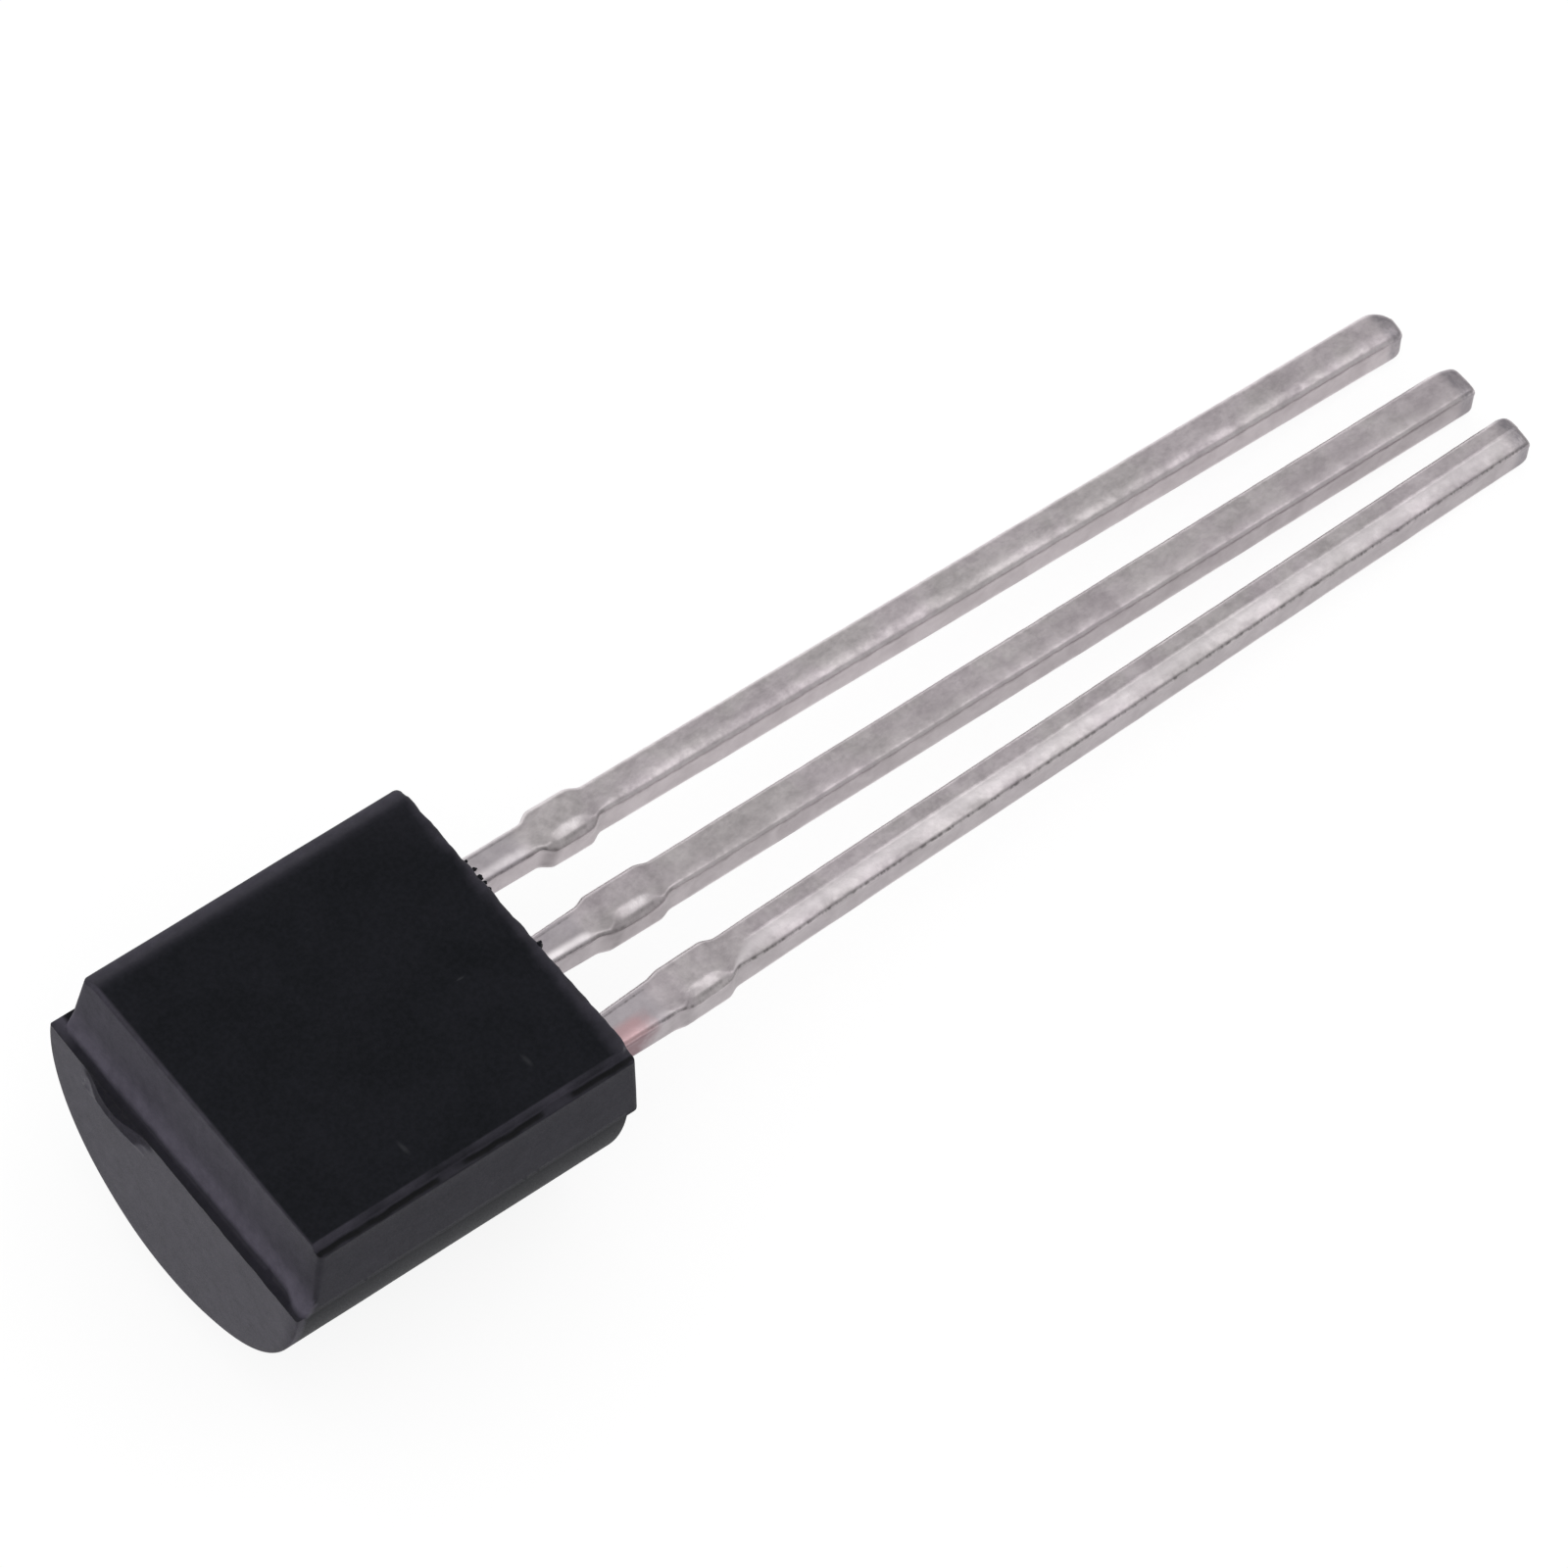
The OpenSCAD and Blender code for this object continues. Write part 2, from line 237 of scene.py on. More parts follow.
class Effects:
    """Shader node groups that more than one material uses, each built once."""

    def __init__(self) -> None:
        """Builds every group."""
        self.groups = {"mottle": self._mottle(), "grain": self._grain(), "scratches": self._scratches()}

    def use(self, graph: Graph, group: str, **values: object) -> Node:
        """Places one group in a material.

        Args:
            graph: The material's graph.
            group: Name of the group.
            **values: What its inputs are set to or linked from, such as patch_scale.

        Returns:
            The group's node.
        """
        feeds = {label(name): value for name, value in values.items()}
        return graph.add("ShaderNodeGroup", feeds, node_tree=self.groups[group])

    def _mottle(self) -> Tree:
        """Cloudy change between two colours, in two sizes of patch."""
        inputs = {"Place": "Vector", "Dark": (0.4, 0.4, 0.4), "Light": (0.6, 0.6, 0.6)}
        inputs |= {"Patch Scale": 1.0, "Speck Scale": 10.0, "Speck Share": 0.3}
        graph, given = new_group("mottle", "ShaderNodeTree", inputs, {"Colour": "Color", "Mask": "Float"})
        patch = graph.cloud(given["Place"], given["Patch Scale"], 3.0, 0.55, 0.6).ramp(0.3, 0.7)
        speck = graph.cloud(given["Place"], given["Speck Scale"], 2.0, 0.6).ramp(0.3, 0.7)
        share = given["Speck Share"]
        mask = patch * (1.0 - share) + speck * share
        colour = graph.blend(mask, given["Dark"], given["Light"])
        graph.add("NodeGroupOutput", {"Colour": colour, "Mask": mask})
        return graph.tree

    def _grain(self) -> Tree:
        """Height of a fine matte grain over slow unevenness."""
        inputs = {"Place": "Vector", "Grain Scale": 40.0, "Swell Scale": 3.0, "Swell Share": 0.5}
        graph, given = new_group("grain", "ShaderNodeTree", inputs, {"Height": "Float", "Mask": "Float"})
        fine = graph.cloud(given["Place"], given["Grain Scale"], 3.0, 0.65)
        swell = graph.cloud(given["Place"], given["Swell Scale"], 2.0, 0.5)
        share = given["Swell Share"]
        height = fine * (1.0 - share) + swell * share
        graph.add("NodeGroupOutput", {"Height": height, "Mask": fine.ramp(0.35, 0.65)})
        return graph.tree

    def _scratches(self) -> Tree:
        """Mask of short, sparse scratches that run along the first coordinate."""
        inputs = {"Place": "Vector", "Length Scale": 1.0, "Width Scale": 12.0, "Rarity": 0.68}
        graph, given = new_group("scratches", "ShaderNodeTree", inputs, {"Mask": "Float"})
        x, y, z = graph.split(given["Place"])
        wide = given["Width Scale"]
        streak = graph.cloud((x * given["Length Scale"], y * wide, z * wide), 1.0, 2.0, 0.6, 0.2)
        graph.add("NodeGroupOutput", {"Mask": streak.ramp(given["Rarity"], given["Rarity"] + 0.06)})
        return graph.tree


# --- Finishes -----------------------------------------------------------------------------


@dataclass(frozen=True)
class Finish:
    """What every finish has in common: uniform values, two close colours and a fine relief."""

    name: str
    metallic: float = 0.0
    gloss: float = 0.5
    ior: float = 1.5
    dark: Colour = (0.5, 0.5, 0.5)
    light: Colour = (0.6, 0.6, 0.6)
    low_roughness: float = 0.3
    high_roughness: float = 0.5
    grain_height: float = 0.002
    relief: float = 1.0

    def start(self) -> tuple[Graph, Material, Node, Socket]:
        """Starts the material.

        Returns:
            Its graph, the material, its Principled shader, and its place in millimetres.
        """
        material = bpy.data.materials.new(self.name)
        material.use_nodes = True
        graph = Graph(material.node_tree)
        shader = graph.tree.nodes["Principled BSDF"]
        for text, value in (("Metallic", self.metallic), ("Specular IOR Level", self.gloss), ("IOR", self.ior)):
            shader.inputs[text].default_value = value
        spot = graph.add("ShaderNodeTexCoord").outputs["Object"]
        place = graph.add("ShaderNodeMapping", {"Vector": spot, "Scale": (1.0 / MM,) * 3}).outputs[0]
        return graph, material, shader, place

    def end(self, graph: Graph, shader: Node, colour: Socket, roughness: Field, height: Field) -> None:
        """Links the shader's colour, roughness and fine relief."""
        feeds = {"Height": height, "Distance": self.grain_height * MM, "Strength": self.relief}
        bump = graph.add("ShaderNodeBump", feeds)
        for text, value in (("Base Color", colour), ("Roughness", roughness), ("Normal", bump.outputs["Normal"])):
            graph.feed(shader.inputs[text], value)


@dataclass(frozen=True)
class EpoxyFinish(Finish):
    """Black moulding resin: matte, faintly blue, with a fine grain, and painted sheen (a paler colour standing in for
    reflected light) on its end faces, ledges and edges.
    """

    name: str = "moulded_epoxy"
    gloss: float = 0.14
    dark: Colour = (0.0010, 0.0021, 0.0046)
    light: Colour = (0.0092, 0.0098, 0.0150)
    rubbed: Colour = (0.034, 0.033, 0.037)
    # Painted sheen: paler resin colour standing in for light reflected off the end faces, ledges and edges.
    bloom: Colour = (0.143, 0.131, 0.172)
    # Painted shade on the near ledge, nearly black.
    deep: Colour = (0.0008, 0.0009, 0.0012)
    scratch: Colour = (0.055, 0.056, 0.062)
    low_roughness: float = 0.34
    high_roughness: float = 0.46
    grain_height: float = 0.0016
    wear_share: float = 0.4
    scratch_share: float = 0.4
    torn_share: float = 0.6
    torn_roughness: float = 0.4
    torn_relief: float = 1.6
    matte_gain: float = 0.2
    nicks: tuple[tuple[float, float, float], ...] = ((-7.27, -1.665, 0.42), (-5.50, -1.565, 0.36))

    def material(self, effects: Effects) -> Material:
        """Builds the material."""
        graph, material, shader, place = self.start()
        mottle = effects.use(
            graph, "mottle", place=place, dark=self.dark, light=self.light,
            patch_scale=0.9, speck_scale=16.0, speck_share=0.5,
        )
        grain = effects.use(graph, "grain", place=place, grain_scale=55.0, swell_scale=7.0, swell_share=0.35)
        marks = effects.use(graph, "scratches", place=place, rarity=0.74, width_scale=9.0)
        wear, broken, pale = (graph.attribute(m) for m in (Mark.EDGE_WEAR, Mark.BROKEN, Mark.BLOOM))
        uneven = graph.cloud(place, 5.0, 5.0, 0.7) * 1.1 + 0.45
        patchy = graph.cloud(place, 6.0, 3.0, 0.6).ramp(0.35, 0.62)
        crumbly = graph.cloud(place, 26.0, 4.0, 0.75).ramp(0.42, 0.62)
        # Painted sheen: the sheen mark pales the colour where reflected light would show.
        colour = graph.blend(pale * uneven, mottle.outputs["Colour"], self.bloom)
        colour = graph.blend(wear * patchy * self.wear_share, colour, self.rubbed)
        colour = graph.blend(broken * crumbly * self.torn_share, colour, self.rubbed)
        colour = graph.blend(graph.field(marks, "Mask") * self.scratch_share, colour, self.scratch)
        # Painted shade: the near ledge darkens towards nearly black.
        colour = graph.blend(graph.attribute(Mark.GROOVE), self._nicked(graph, colour, place), self.deep)
        dull = graph.attribute(Mark.MATTE) * self.matte_gain + broken * self.torn_roughness
        roughness = graph.field(grain, "Mask") * (self.high_roughness - self.low_roughness) + self.low_roughness
        height = graph.field(grain, "Height") + broken * graph.cloud(place, 30.0, 3.0, 0.7) * self.torn_relief
        self.end(graph, shader, colour, roughness + dull, height)
        return material

    def _nicked(self, graph: Graph, colour: Socket, place: Socket) -> Socket:
        """Adds the short pale nicks on the flat front, each given as x, y and strength."""
        x, y, z = graph.split(place)
        for spot_x, spot_y, strength in self.nicks:
            long_way = (x - spot_x) * -0.12 + (y - spot_y) * 0.99
            wide_way = (x - spot_x) * 0.99 + (y - spot_y) * 0.12
            reach = graph.math("SQRT", long_way * long_way * 0.09 + wide_way * wide_way)
            colour = graph.blend(reach.ramp(0.042, 0.006) * z.above(2.4) * strength, colour, self.scratch)
        return colour


class LeadPlace:
    """Where a point of a lead is, along it and in its section, and the masks that follow."""

    DAM_MIDDLE = 1.42

    def __init__(self, graph: Graph, shoulder: Pair, length: float) -> None:
        """Reads the lead's attributes.

        Args:
            graph: The material's graph.
            shoulder: Where the dam bar's shoulder starts and ends along the lead.
            length: Where the lead's tip lies along it.
        """
        self.along = graph.attribute(Mark.ALONG)
        self.across, self.up, self.roll = graph.split(graph.attribute(Mark.SECTION, "Vector"))
        self.top = self.up.ramp(0.86, 0.97)
        self.edge = self.across.size().ramp(0.93, 0.99)
        self.side = self.edge * self.up.ramp(0.92, 0.76)
        self.neck = self.along.ramp(shoulder[0] - 0.05, shoulder[0] - 0.25)
        self.shank = self.along.ramp(shoulder[1] - 0.1, shoulder[1] + 0.1)
        self.bar = self.along.hump(self.DAM_MIDDLE, 0.34)
        self.before_tip = self.along.ramp(length - 0.2, length - 0.4)
        self.tip = self.along.ramp(length - 0.3, length - 0.14)
        self.tip *= 1.0 - self.along.ramp(length - 0.07, length - 0.03) * 0.6
        self.breaks = graph.cloud((self.along * 12.0, self.across * 1.5, self.up), 1.0, 5.0, 0.75).ramp(0.44, 0.62)
        self.soft = graph.cloud((self.along * 1.6, self.across * 1.2, self.up), 1.0, 2.0, 0.5).ramp(0.3, 0.6)


@dataclass(frozen=True)
class TinFinish(Finish):
    """Dull satin tin plating: blotchy, with painted highlights on its edges and sheared hollow, painted shade under
    the sheared lip of its near edge and in the shoulder's bends, and darker tips.

    The copper patch is where the plating stops short at a lead's root. copper_end is how far it
    reaches along the lead, and one below 0 leaves the lead fully plated.
    """

    name: str = "tin_plating"
    metallic: float = 0.9
    dark: Colour = (0.36, 0.326, 0.336)
    light: Colour = (0.80, 0.735, 0.752)
    mauve: Colour = (0.60, 0.527, 0.567)
    olive: Colour = (0.59, 0.556, 0.548)
    neck: Colour = (0.50, 0.465, 0.50)
    # Side walls: partly their own duller sheared tone, partly painted shade.
    wall: Colour = (0.56, 0.508, 0.525)
    # Painted shade under the near edge's lip and in the shoulder's bends.
    burr: Colour = (0.10, 0.09, 0.09)
    tip: Colour = (0.27, 0.25, 0.275)
    copper: Colour = (0.64, 0.42, 0.44)
    maroon: Colour = (0.24, 0.13, 0.15)
    # Pale drawn streaks, and painted highlights on the edges, the rolled edge and the hollow.
    bright: Colour = (0.90, 0.85, 0.865)
    low_roughness: float = 0.28
    high_roughness: float = 0.42
    grain_height: float = 0.0034
    copper_end: float = -1.0
    # Strengths of painted highlights and painted shade: the rolled edge's highlight beyond the neck and on the neck,
    # shade over the near half of the top, shade under the lip on the shank and nearer the block, the highlight in the
    # hollow, the highlight along the near top edge, and shade in the shoulder's bends.
    stripe: float = 0.0
    neck_stripe: float = 0.0
    shade: float = 0.0
    burr_strength: float = 0.15
    neck_burr: float = 0.5
    scoop: float = 0.8
    hem: float = 0.45
    crease: float = 0.26
    shoulder: Pair = (0.93, 1.87)

    def material(self, effects: Effects, length: float) -> Material:
        """Builds the material.

        Args:
            effects: The shared node groups.
            length: Where the lead's tip lies along it, for the darker tip.

        Returns:
            The material.
        """
        graph, material, shader, place = self.start()
        at = LeadPlace(graph, self.shoulder, length)
        mottle = effects.use(
            graph, "mottle", place=place, dark=self.dark, light=self.light, patch_scale=2.6, speck_scale=14.0
        )
        grain = effects.use(graph, "grain", place=place, grain_scale=38.0, swell_scale=6.0, swell_share=0.6)
        colour = self._plated(graph, mottle.outputs["Colour"], place, at)
        # Painted highlights on the far top edge, the lower edges, the rolled edge and the hollow.
        colour = self._rubbed(graph, colour, at)
        # Painted shade in the shoulder's bends.
        colour = graph.blend(self._creases(graph, place, at) * (0.3 + at.soft * 0.7) * self.crease, colour, self.burr)
        # Painted highlight along the near top edge, and painted shade under its lip and in dashes on the top.
        colour = self._burred(graph, colour, at)
        colour = graph.blend(at.tip * (0.55 + at.breaks * 0.35), colour, self.tip)
        if self.copper_end > 0.0:
            colour = self._coppered(graph, colour, place, at)
        span = self.high_roughness - self.low_roughness
        roughness = graph.field(mottle, "Mask") * -span + self.high_roughness + at.side * 0.12
        self.end(graph, shader, colour, roughness, graph.field(grain, "Height"))
        return material

    def _plated(self, graph: Graph, colour: Socket, place: Socket, at: LeadPlace) -> Socket:
        """Clouds the mottled tin, darkens the neck, darkens the lead's sides partly in their own sheared tone and
        partly in painted shade, and lays painted shade over the near half of the top where shade is set.
        """
        hue = graph.cloud(place, 0.7, 4.0, 0.65, 0.5).ramp(0.4, 0.6)
        colour = graph.blend(0.45, colour, graph.blend(hue, self.mauve, self.olive))
        drawn = graph.cloud((at.along * 5.0, at.across * 2.4, at.up * 2.4), 1.0, 5.0, 0.75).ramp(0.38, 0.62)
        colour = graph.blend(drawn * 0.13, graph.blend((1.0 - drawn) * 0.12, colour, self.tip), self.bright)
        colour = graph.blend(at.neck * 0.5, colour, self.neck)
        # Side walls darkened: partly their own sheared tone, partly painted shade.
        colour = graph.blend(at.side * 0.85, colour, self.wall)
        # Painted shade over the near half of the top.
        if self.shade:
            colour = graph.blend(at.top * at.across.ramp(0.25, -0.3) * self.shade, colour, self.wall)
        return colour

    def _rubbed(self, graph: Graph, colour: Socket, at: LeadPlace) -> Socket:
        """Paints highlights on the far top edge, the lower edges, the rolled edge and the sheared hollow."""
        rims = at.top * at.across.ramp(0.72, 0.93) * 0.65 + at.edge * at.up.ramp(-0.6, -0.86) * at.soft * 0.75
        share = at.neck * (self.neck_stripe - self.stripe) + self.stripe
        line = at.roll.hump(0.5, 0.5) * at.before_tip * share
        hollow = at.along.hump(at.DAM_MIDDLE, 0.3) * at.across.hump(-0.5, 0.34) * (0.5 + at.breaks * 0.5)
        return graph.blend((rims + line + at.top * hollow * self.scoop).at_most(1.0), colour, self.bright)

    def _creases(self, graph: Graph, place: Socket, at: LeadPlace) -> Field:
        """Mask of the painted shade in the soft bands where the shoulder rises from the neck and falls to the shank.
        """
        start, end = self.shoulder
        bent = at.along + (graph.cloud(place, 3.5, 2.0) - 0.5) * 0.3 - at.across * at.across * 0.06
        return bent.hump(start + 0.08, 0.16) * (0.6 + at.across * -0.4) + bent.hump(end - 0.14, 0.15) * 0.7

    def _burred(self, graph: Graph, colour: Socket, at: LeadPlace) -> Socket:
        """Adds the painted highlight along the near top edge, and broken lines of painted shade: under its lip, and
        in dashes on the top of the neck and the bar.
        """
        corner = at.across.ramp(-0.84, -0.93) * at.up.hump(0.93, 0.12)
        # Painted highlight along the near top edge of the shank.
        colour = graph.blend(corner * at.shank * self.hem, colour, self.bright)
        share = at.shank * (self.burr_strength - self.neck_burr) + self.neck_burr
        dashes = at.top * at.across.hump(0.64, 0.08) * at.neck + at.top * at.across.hump(-0.8, 0.1) * at.bar
        burr_shades = corner * share * (1.0 - at.bar) + dashes * self.neck_burr
        return graph.blend(burr_shades * (at.breaks * 0.65 + 0.35), colour, self.burr)

    def _coppered(self, graph: Graph, colour: Socket, place: Socket, at: LeadPlace) -> Socket:
        """Lays the bare copper over the plating: pink on the top, maroon down the near side."""
        ragged = graph.cloud(place, 4.0, 3.0) * 0.5 - 0.25
        reach = (at.along + ragged).ramp(self.copper_end, self.copper_end - 0.3)
        pink = reach * at.across.ramp(0.15, -0.35) * at.up.ramp(0.8, 0.95) * 0.9
        stain = reach * at.across.ramp(-0.9, -0.98) * at.up.ramp(0.95, 0.8) * at.up.ramp(-0.95, -0.6) * 0.85
        return graph.blend(stain, graph.blend(pink, colour, self.copper), self.maroon)


@dataclass(frozen=True)
class GrainedFinish(Finish):
    """A small inner piece: two close colours, a fine grain and uneven roughness."""

    relief: float = 0.8
    grain_scale: float = 60.0

    def material(self, effects: Effects) -> Material:
        """Builds the material."""
        graph, material, shader, place = self.start()
        mottle = effects.use(
            graph, "mottle", place=place, dark=self.dark, light=self.light, patch_scale=6.0, speck_scale=30.0
        )
        grain = effects.use(graph, "grain", place=place, grain_scale=self.grain_scale)
        roughness = graph.field(grain, "Mask") * (self.high_roughness - self.low_roughness) + self.low_roughness
        self.end(graph, shader, mottle.outputs["Colour"], roughness, graph.field(grain, "Height"))
        return material


# --- Rest pose and mesh helpers -----------------------------------------------------------


@dataclass(frozen=True)
class RestPose:
    """How the device lies: on the lower edge of its back and on its longest lead's tip."""

    pitch: float = 8.15945
    shift: tuple[float, float, float] = (-4.67736, -0.06, 2.26082)

    def matrix(self) -> Matrix:
        """From millimetres in the device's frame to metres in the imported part's frame."""
        turn = Matrix.Rotation(math.radians(self.pitch), 4, "Y")
        return Matrix.Scale(MM, 4) @ Matrix.Translation(self.shift) @ turn

    def settle(self, piece: Piece) -> None:
        """Moves a piece's mesh to its place at rest; the object stays at the origin."""
        piece.data.transform(self.matrix())
        piece.data.update()

    def back(self, piece: Piece) -> Mesh:
        """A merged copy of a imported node's mesh, in the device's frame and in millimetres."""
        mesh = piece.data.copy()
        mesh.transform(self.matrix().inverted())
        bench = bmesh.new()
        bench.from_mesh(mesh)
        bmesh.ops.remove_doubles(bench, verts=bench.verts, dist=1e-4)
        bench.to_mesh(mesh)
        bench.free()
        return mesh


def spread(low: float, high: float, step: float) -> list[float]:
    """Evenly spaced places from low to high, both included."""
    count = max(1, round((high - low) / step))
    return [low + (high - low) * i / count for i in range(count + 1)]


def side_lines(low: float, high: float, step: float, radius: float = 0.0, stops: Sequence[float] = ()) -> np.ndarray:
    """Places of grid lines along one side of a block.

    Args:
        low: Where the side starts.
        high: Where it ends.
        step: Spacing away from the ends.
        radius: Radius of the rounded ends, in which the lines are closer; 0 for a sharp end.
        stops: More places, between which a change comes out crisp.

    Returns:
        The sorted places, with no two alike.
    """
    turns = rim_steps(radius) if radius else [0.0]
    places = [low + radius - t for t in turns] + [high - radius + t for t in turns]
    places += spread(low + radius, high - radius, step) + list(stops)
    kept: list[float] = []
    for place in sorted(places):
        if not kept or place - kept[-1] > 1e-4:
            kept.append(place)
    return np.array(kept)


def rim_steps(radius: float) -> list[float]:
    """Distances of the grid lines in a rounded edge from where it starts."""
    return [math.tan(math.pi / 4 * k / 4) * radius for k in range(5)]


def grid_block(xs: np.ndarray, ys: np.ndarray, zs: np.ndarray) -> tuple[np.ndarray, list[tuple[int, ...]]]:
    """The closed surface of a block, as quads along the given grid lines of each axis.

    Returns:
        The vertices and the quads, with outward faces.
    """
    lines = (xs, ys, zs)
    top = tuple(len(line) - 1 for line in lines)
    number: dict[tuple[int, ...], int] = {}
    quads = []
    for axis in range(3):
        u, v = (axis + 1) % 3, (axis + 2) % 3
        for level in (0, top[axis]):
            for i, j in np.ndindex(top[u], top[v]):
                ring = []
                for a, b in ((i, j), (i + 1, j), (i + 1, j + 1), (i, j + 1)):
                    key = [level] * 3
                    key[u], key[v] = a, b
                    ring.append(number.setdefault(tuple(key), len(number)))
                quads.append(tuple(ring if level else reversed(ring)))
    keys = np.array(list(number))
    return np.stack([lines[k][keys[:, k]] for k in range(3)], axis=1), quads


def round_over(over: np.ndarray) -> np.ndarray:
    """Squeezes how far points lie past a block's core, in radii, from a square corner to a round one."""
    longest = np.abs(over).max(axis=1)
    length = np.linalg.norm(over, axis=1)
    share = np.divide(longest, length, out=np.ones_like(length), where=length > 1e-9)
    return over * share[:, None]


def ease(values: np.ndarray, start: float, end: float) -> np.ndarray:
    """Smooth rise from 0 at start to 1 at end."""
    t = np.clip((values - start) / (end - start), 0.0, 1.0)
    return t * t * (3.0 - 2.0 * t)


def fade(values: np.ndarray, start: float, end: float) -> np.ndarray:
    """Smooth fall from 1 at start to 0 at end."""
    return 1.0 - ease(values, start, end)


def ripple(
    points: np.ndarray, scale: float, seed: float, octaves: int = 2, axes: tuple[float, ...] = (1.0, 1.0, 1.0)
) -> np.ndarray:
    """Smooth noise from about -1 to 1 at each point, the same each run.

    Args:
        points: Places, in millimetres.
        scale: Waves for each millimetre.
        seed: Offset that gives another pattern.
        octaves: Layers of finer noise.
        axes: How much the noise changes along each axis.

    Returns:
        One number for each point.
    """
    shift = Vector((seed, seed * 1.7, seed * 0.3))
    places = points * np.array(axes)
    return np.array([noise.fractal(Vector(p) * scale + shift, 0.9, 2.1, octaves) for p in places])


def link(name: str, data: object) -> Piece:
    """Makes an object of a mesh, lamp or camera and puts it in the scene."""
    piece = bpy.data.objects.new(name, data)
    bpy.context.scene.collection.objects.link(piece)
    return piece


def mesh_object(name: str, points: np.ndarray, faces: list[tuple[int, ...]]) -> Piece:
    """Makes an object in the scene from vertices and faces."""
    mesh = bpy.data.meshes.new(name)
    mesh.from_pydata(points.tolist(), [], faces)
    mesh.update()
    return link(name, mesh)


def drop_mesh(mesh: Mesh) -> None:
    """Removes a mesh that nothing uses any more."""
    if mesh.users == 0:
        bpy.data.meshes.remove(mesh)


def freeze(piece: Piece) -> None:
    """Applies a piece's modifiers, so that only a plain mesh is left."""
    graph = bpy.context.evaluated_depsgraph_get()
    mesh = bpy.data.meshes.new_from_object(piece.evaluated_get(graph))
    piece.modifiers.clear()
    old, piece.data = piece.data, mesh
    mesh.name = piece.name
    drop_mesh(old)


class Cut(Enum):
    """What a tool shape does to a piece."""

    JOIN = "UNION"
    REMOVE = "DIFFERENCE"


def carve(piece: Piece, tool: Piece, cut: Cut) -> None:
    """Joins a tool shape to a piece, or takes it away, and discards the tool."""
    modifier = piece.modifiers.new("carve", "BOOLEAN")
    modifier.operation, modifier.solver, modifier.object = cut.value, "EXACT", tool
    freeze(piece)
    mesh = tool.data
    bpy.data.objects.remove(tool)
    drop_mesh(mesh)


def smooth_faces(piece: Piece, angle: float) -> None:
    """Shades a piece smooth, with edges steeper than an angle in degrees kept sharp."""
    piece.data.shade_smooth()
    piece.data.set_sharp_from_angle(angle=math.radians(angle))


def dress(piece: Piece, material: Material) -> None:
    """Gives a piece one material."""
    piece.data.materials.clear()
    piece.data.materials.append(material)


def end_tree(graph: Graph, shape: Socket, material: Field) -> None:
    """Ends a Geometry Nodes tree: smooth faces, real geometry and its material."""
    smooth = graph.add("GeometryNodeSetShadeSmooth", {"Geometry": shape}).outputs[0]
    real = graph.add("GeometryNodeRealizeInstances", {"Geometry": smooth}).outputs[0]
    done = graph.add("GeometryNodeSetMaterial", {"Geometry": real, "Material": material}).outputs[0]
    graph.add("NodeGroupOutput", {"Geometry": done})


def run_tree(name: str, tree: Tree, values: dict[str, object], mesh: Mesh | None = None) -> Piece:
    """Runs a Geometry Nodes tree and keeps the result as a plain mesh.

    Args:
        name: Name of the new object.
        tree: The tree.
        values: What each named input is set to.
        mesh: The mesh that goes in, where the tree needs one.

    Returns:
        The object, with no modifier left on it.
    """
    piece = link(name, bpy.data.meshes.new(name) if mesh is None else mesh)
    modifier = piece.modifiers.new("build", "NODES")
    modifier.node_group = tree
    sockets = {i.name: i.identifier for i in tree.interface.items_tree if i.in_out == "INPUT"}
    for text, value in values.items():
        modifier[sockets[text]] = value
    freeze(piece)
    return piece


# --- Lead frame ---------------------------------------------------------------------------


@dataclass(frozen=True)
class LeadShape:
    """Sizes of one stamped lead, in millimetres and degrees, each an input of LeadTree.

    Far and near are the sides at +Y and -Y. A roll is a top edge that is rounded down, and the
    scoop is the hollow that the sheared dam bar left in the near one.
    """

    length: Number = 14.0
    inner_length: Number = 1.0
    root_width: Number = 0.4
    neck_width: Number = 0.45
    dam_width: Number = 0.6
    shank_width: Number = 0.47
    tip_width: Number = 0.47
    thickness: Number = 0.46
    dam_start: Number = 0.93
    dam_length: Number = 0.94
    dam_slope: Number = 0.2
    edge_radius: Number = 0.045
    near_tip_length: Number = 0.04
    near_tip_width: Number = 0.03
    far_tip_length: Number = 0.13
    far_tip_width: Number = 0.13
    tip_drop: Number = 0.06
    tip_rise: Number = 0.08
    neck_roll_width: Number = 0.15
    neck_roll_depth: Number = 0.03
    near_roll_width: Number = 0.1
    near_roll_depth: Number = 0.022
    far_roll_width: Number = 0.09
    far_roll_depth: Number = 0.03
    scoop_depth: Number = 0.1
    scoop_reach: Number = 0.21
    scoop_length: Number = 0.75
    lip: Number = 0.008
    lean: Number = 0.0
    shank_twist: Number = 0.0
    tip_twist: Number = 0.0
    waver: Number = 0.012
    dents: Number = 0.0022
    ring_spacing: Number = 0.035
    seed: Number = 0.0


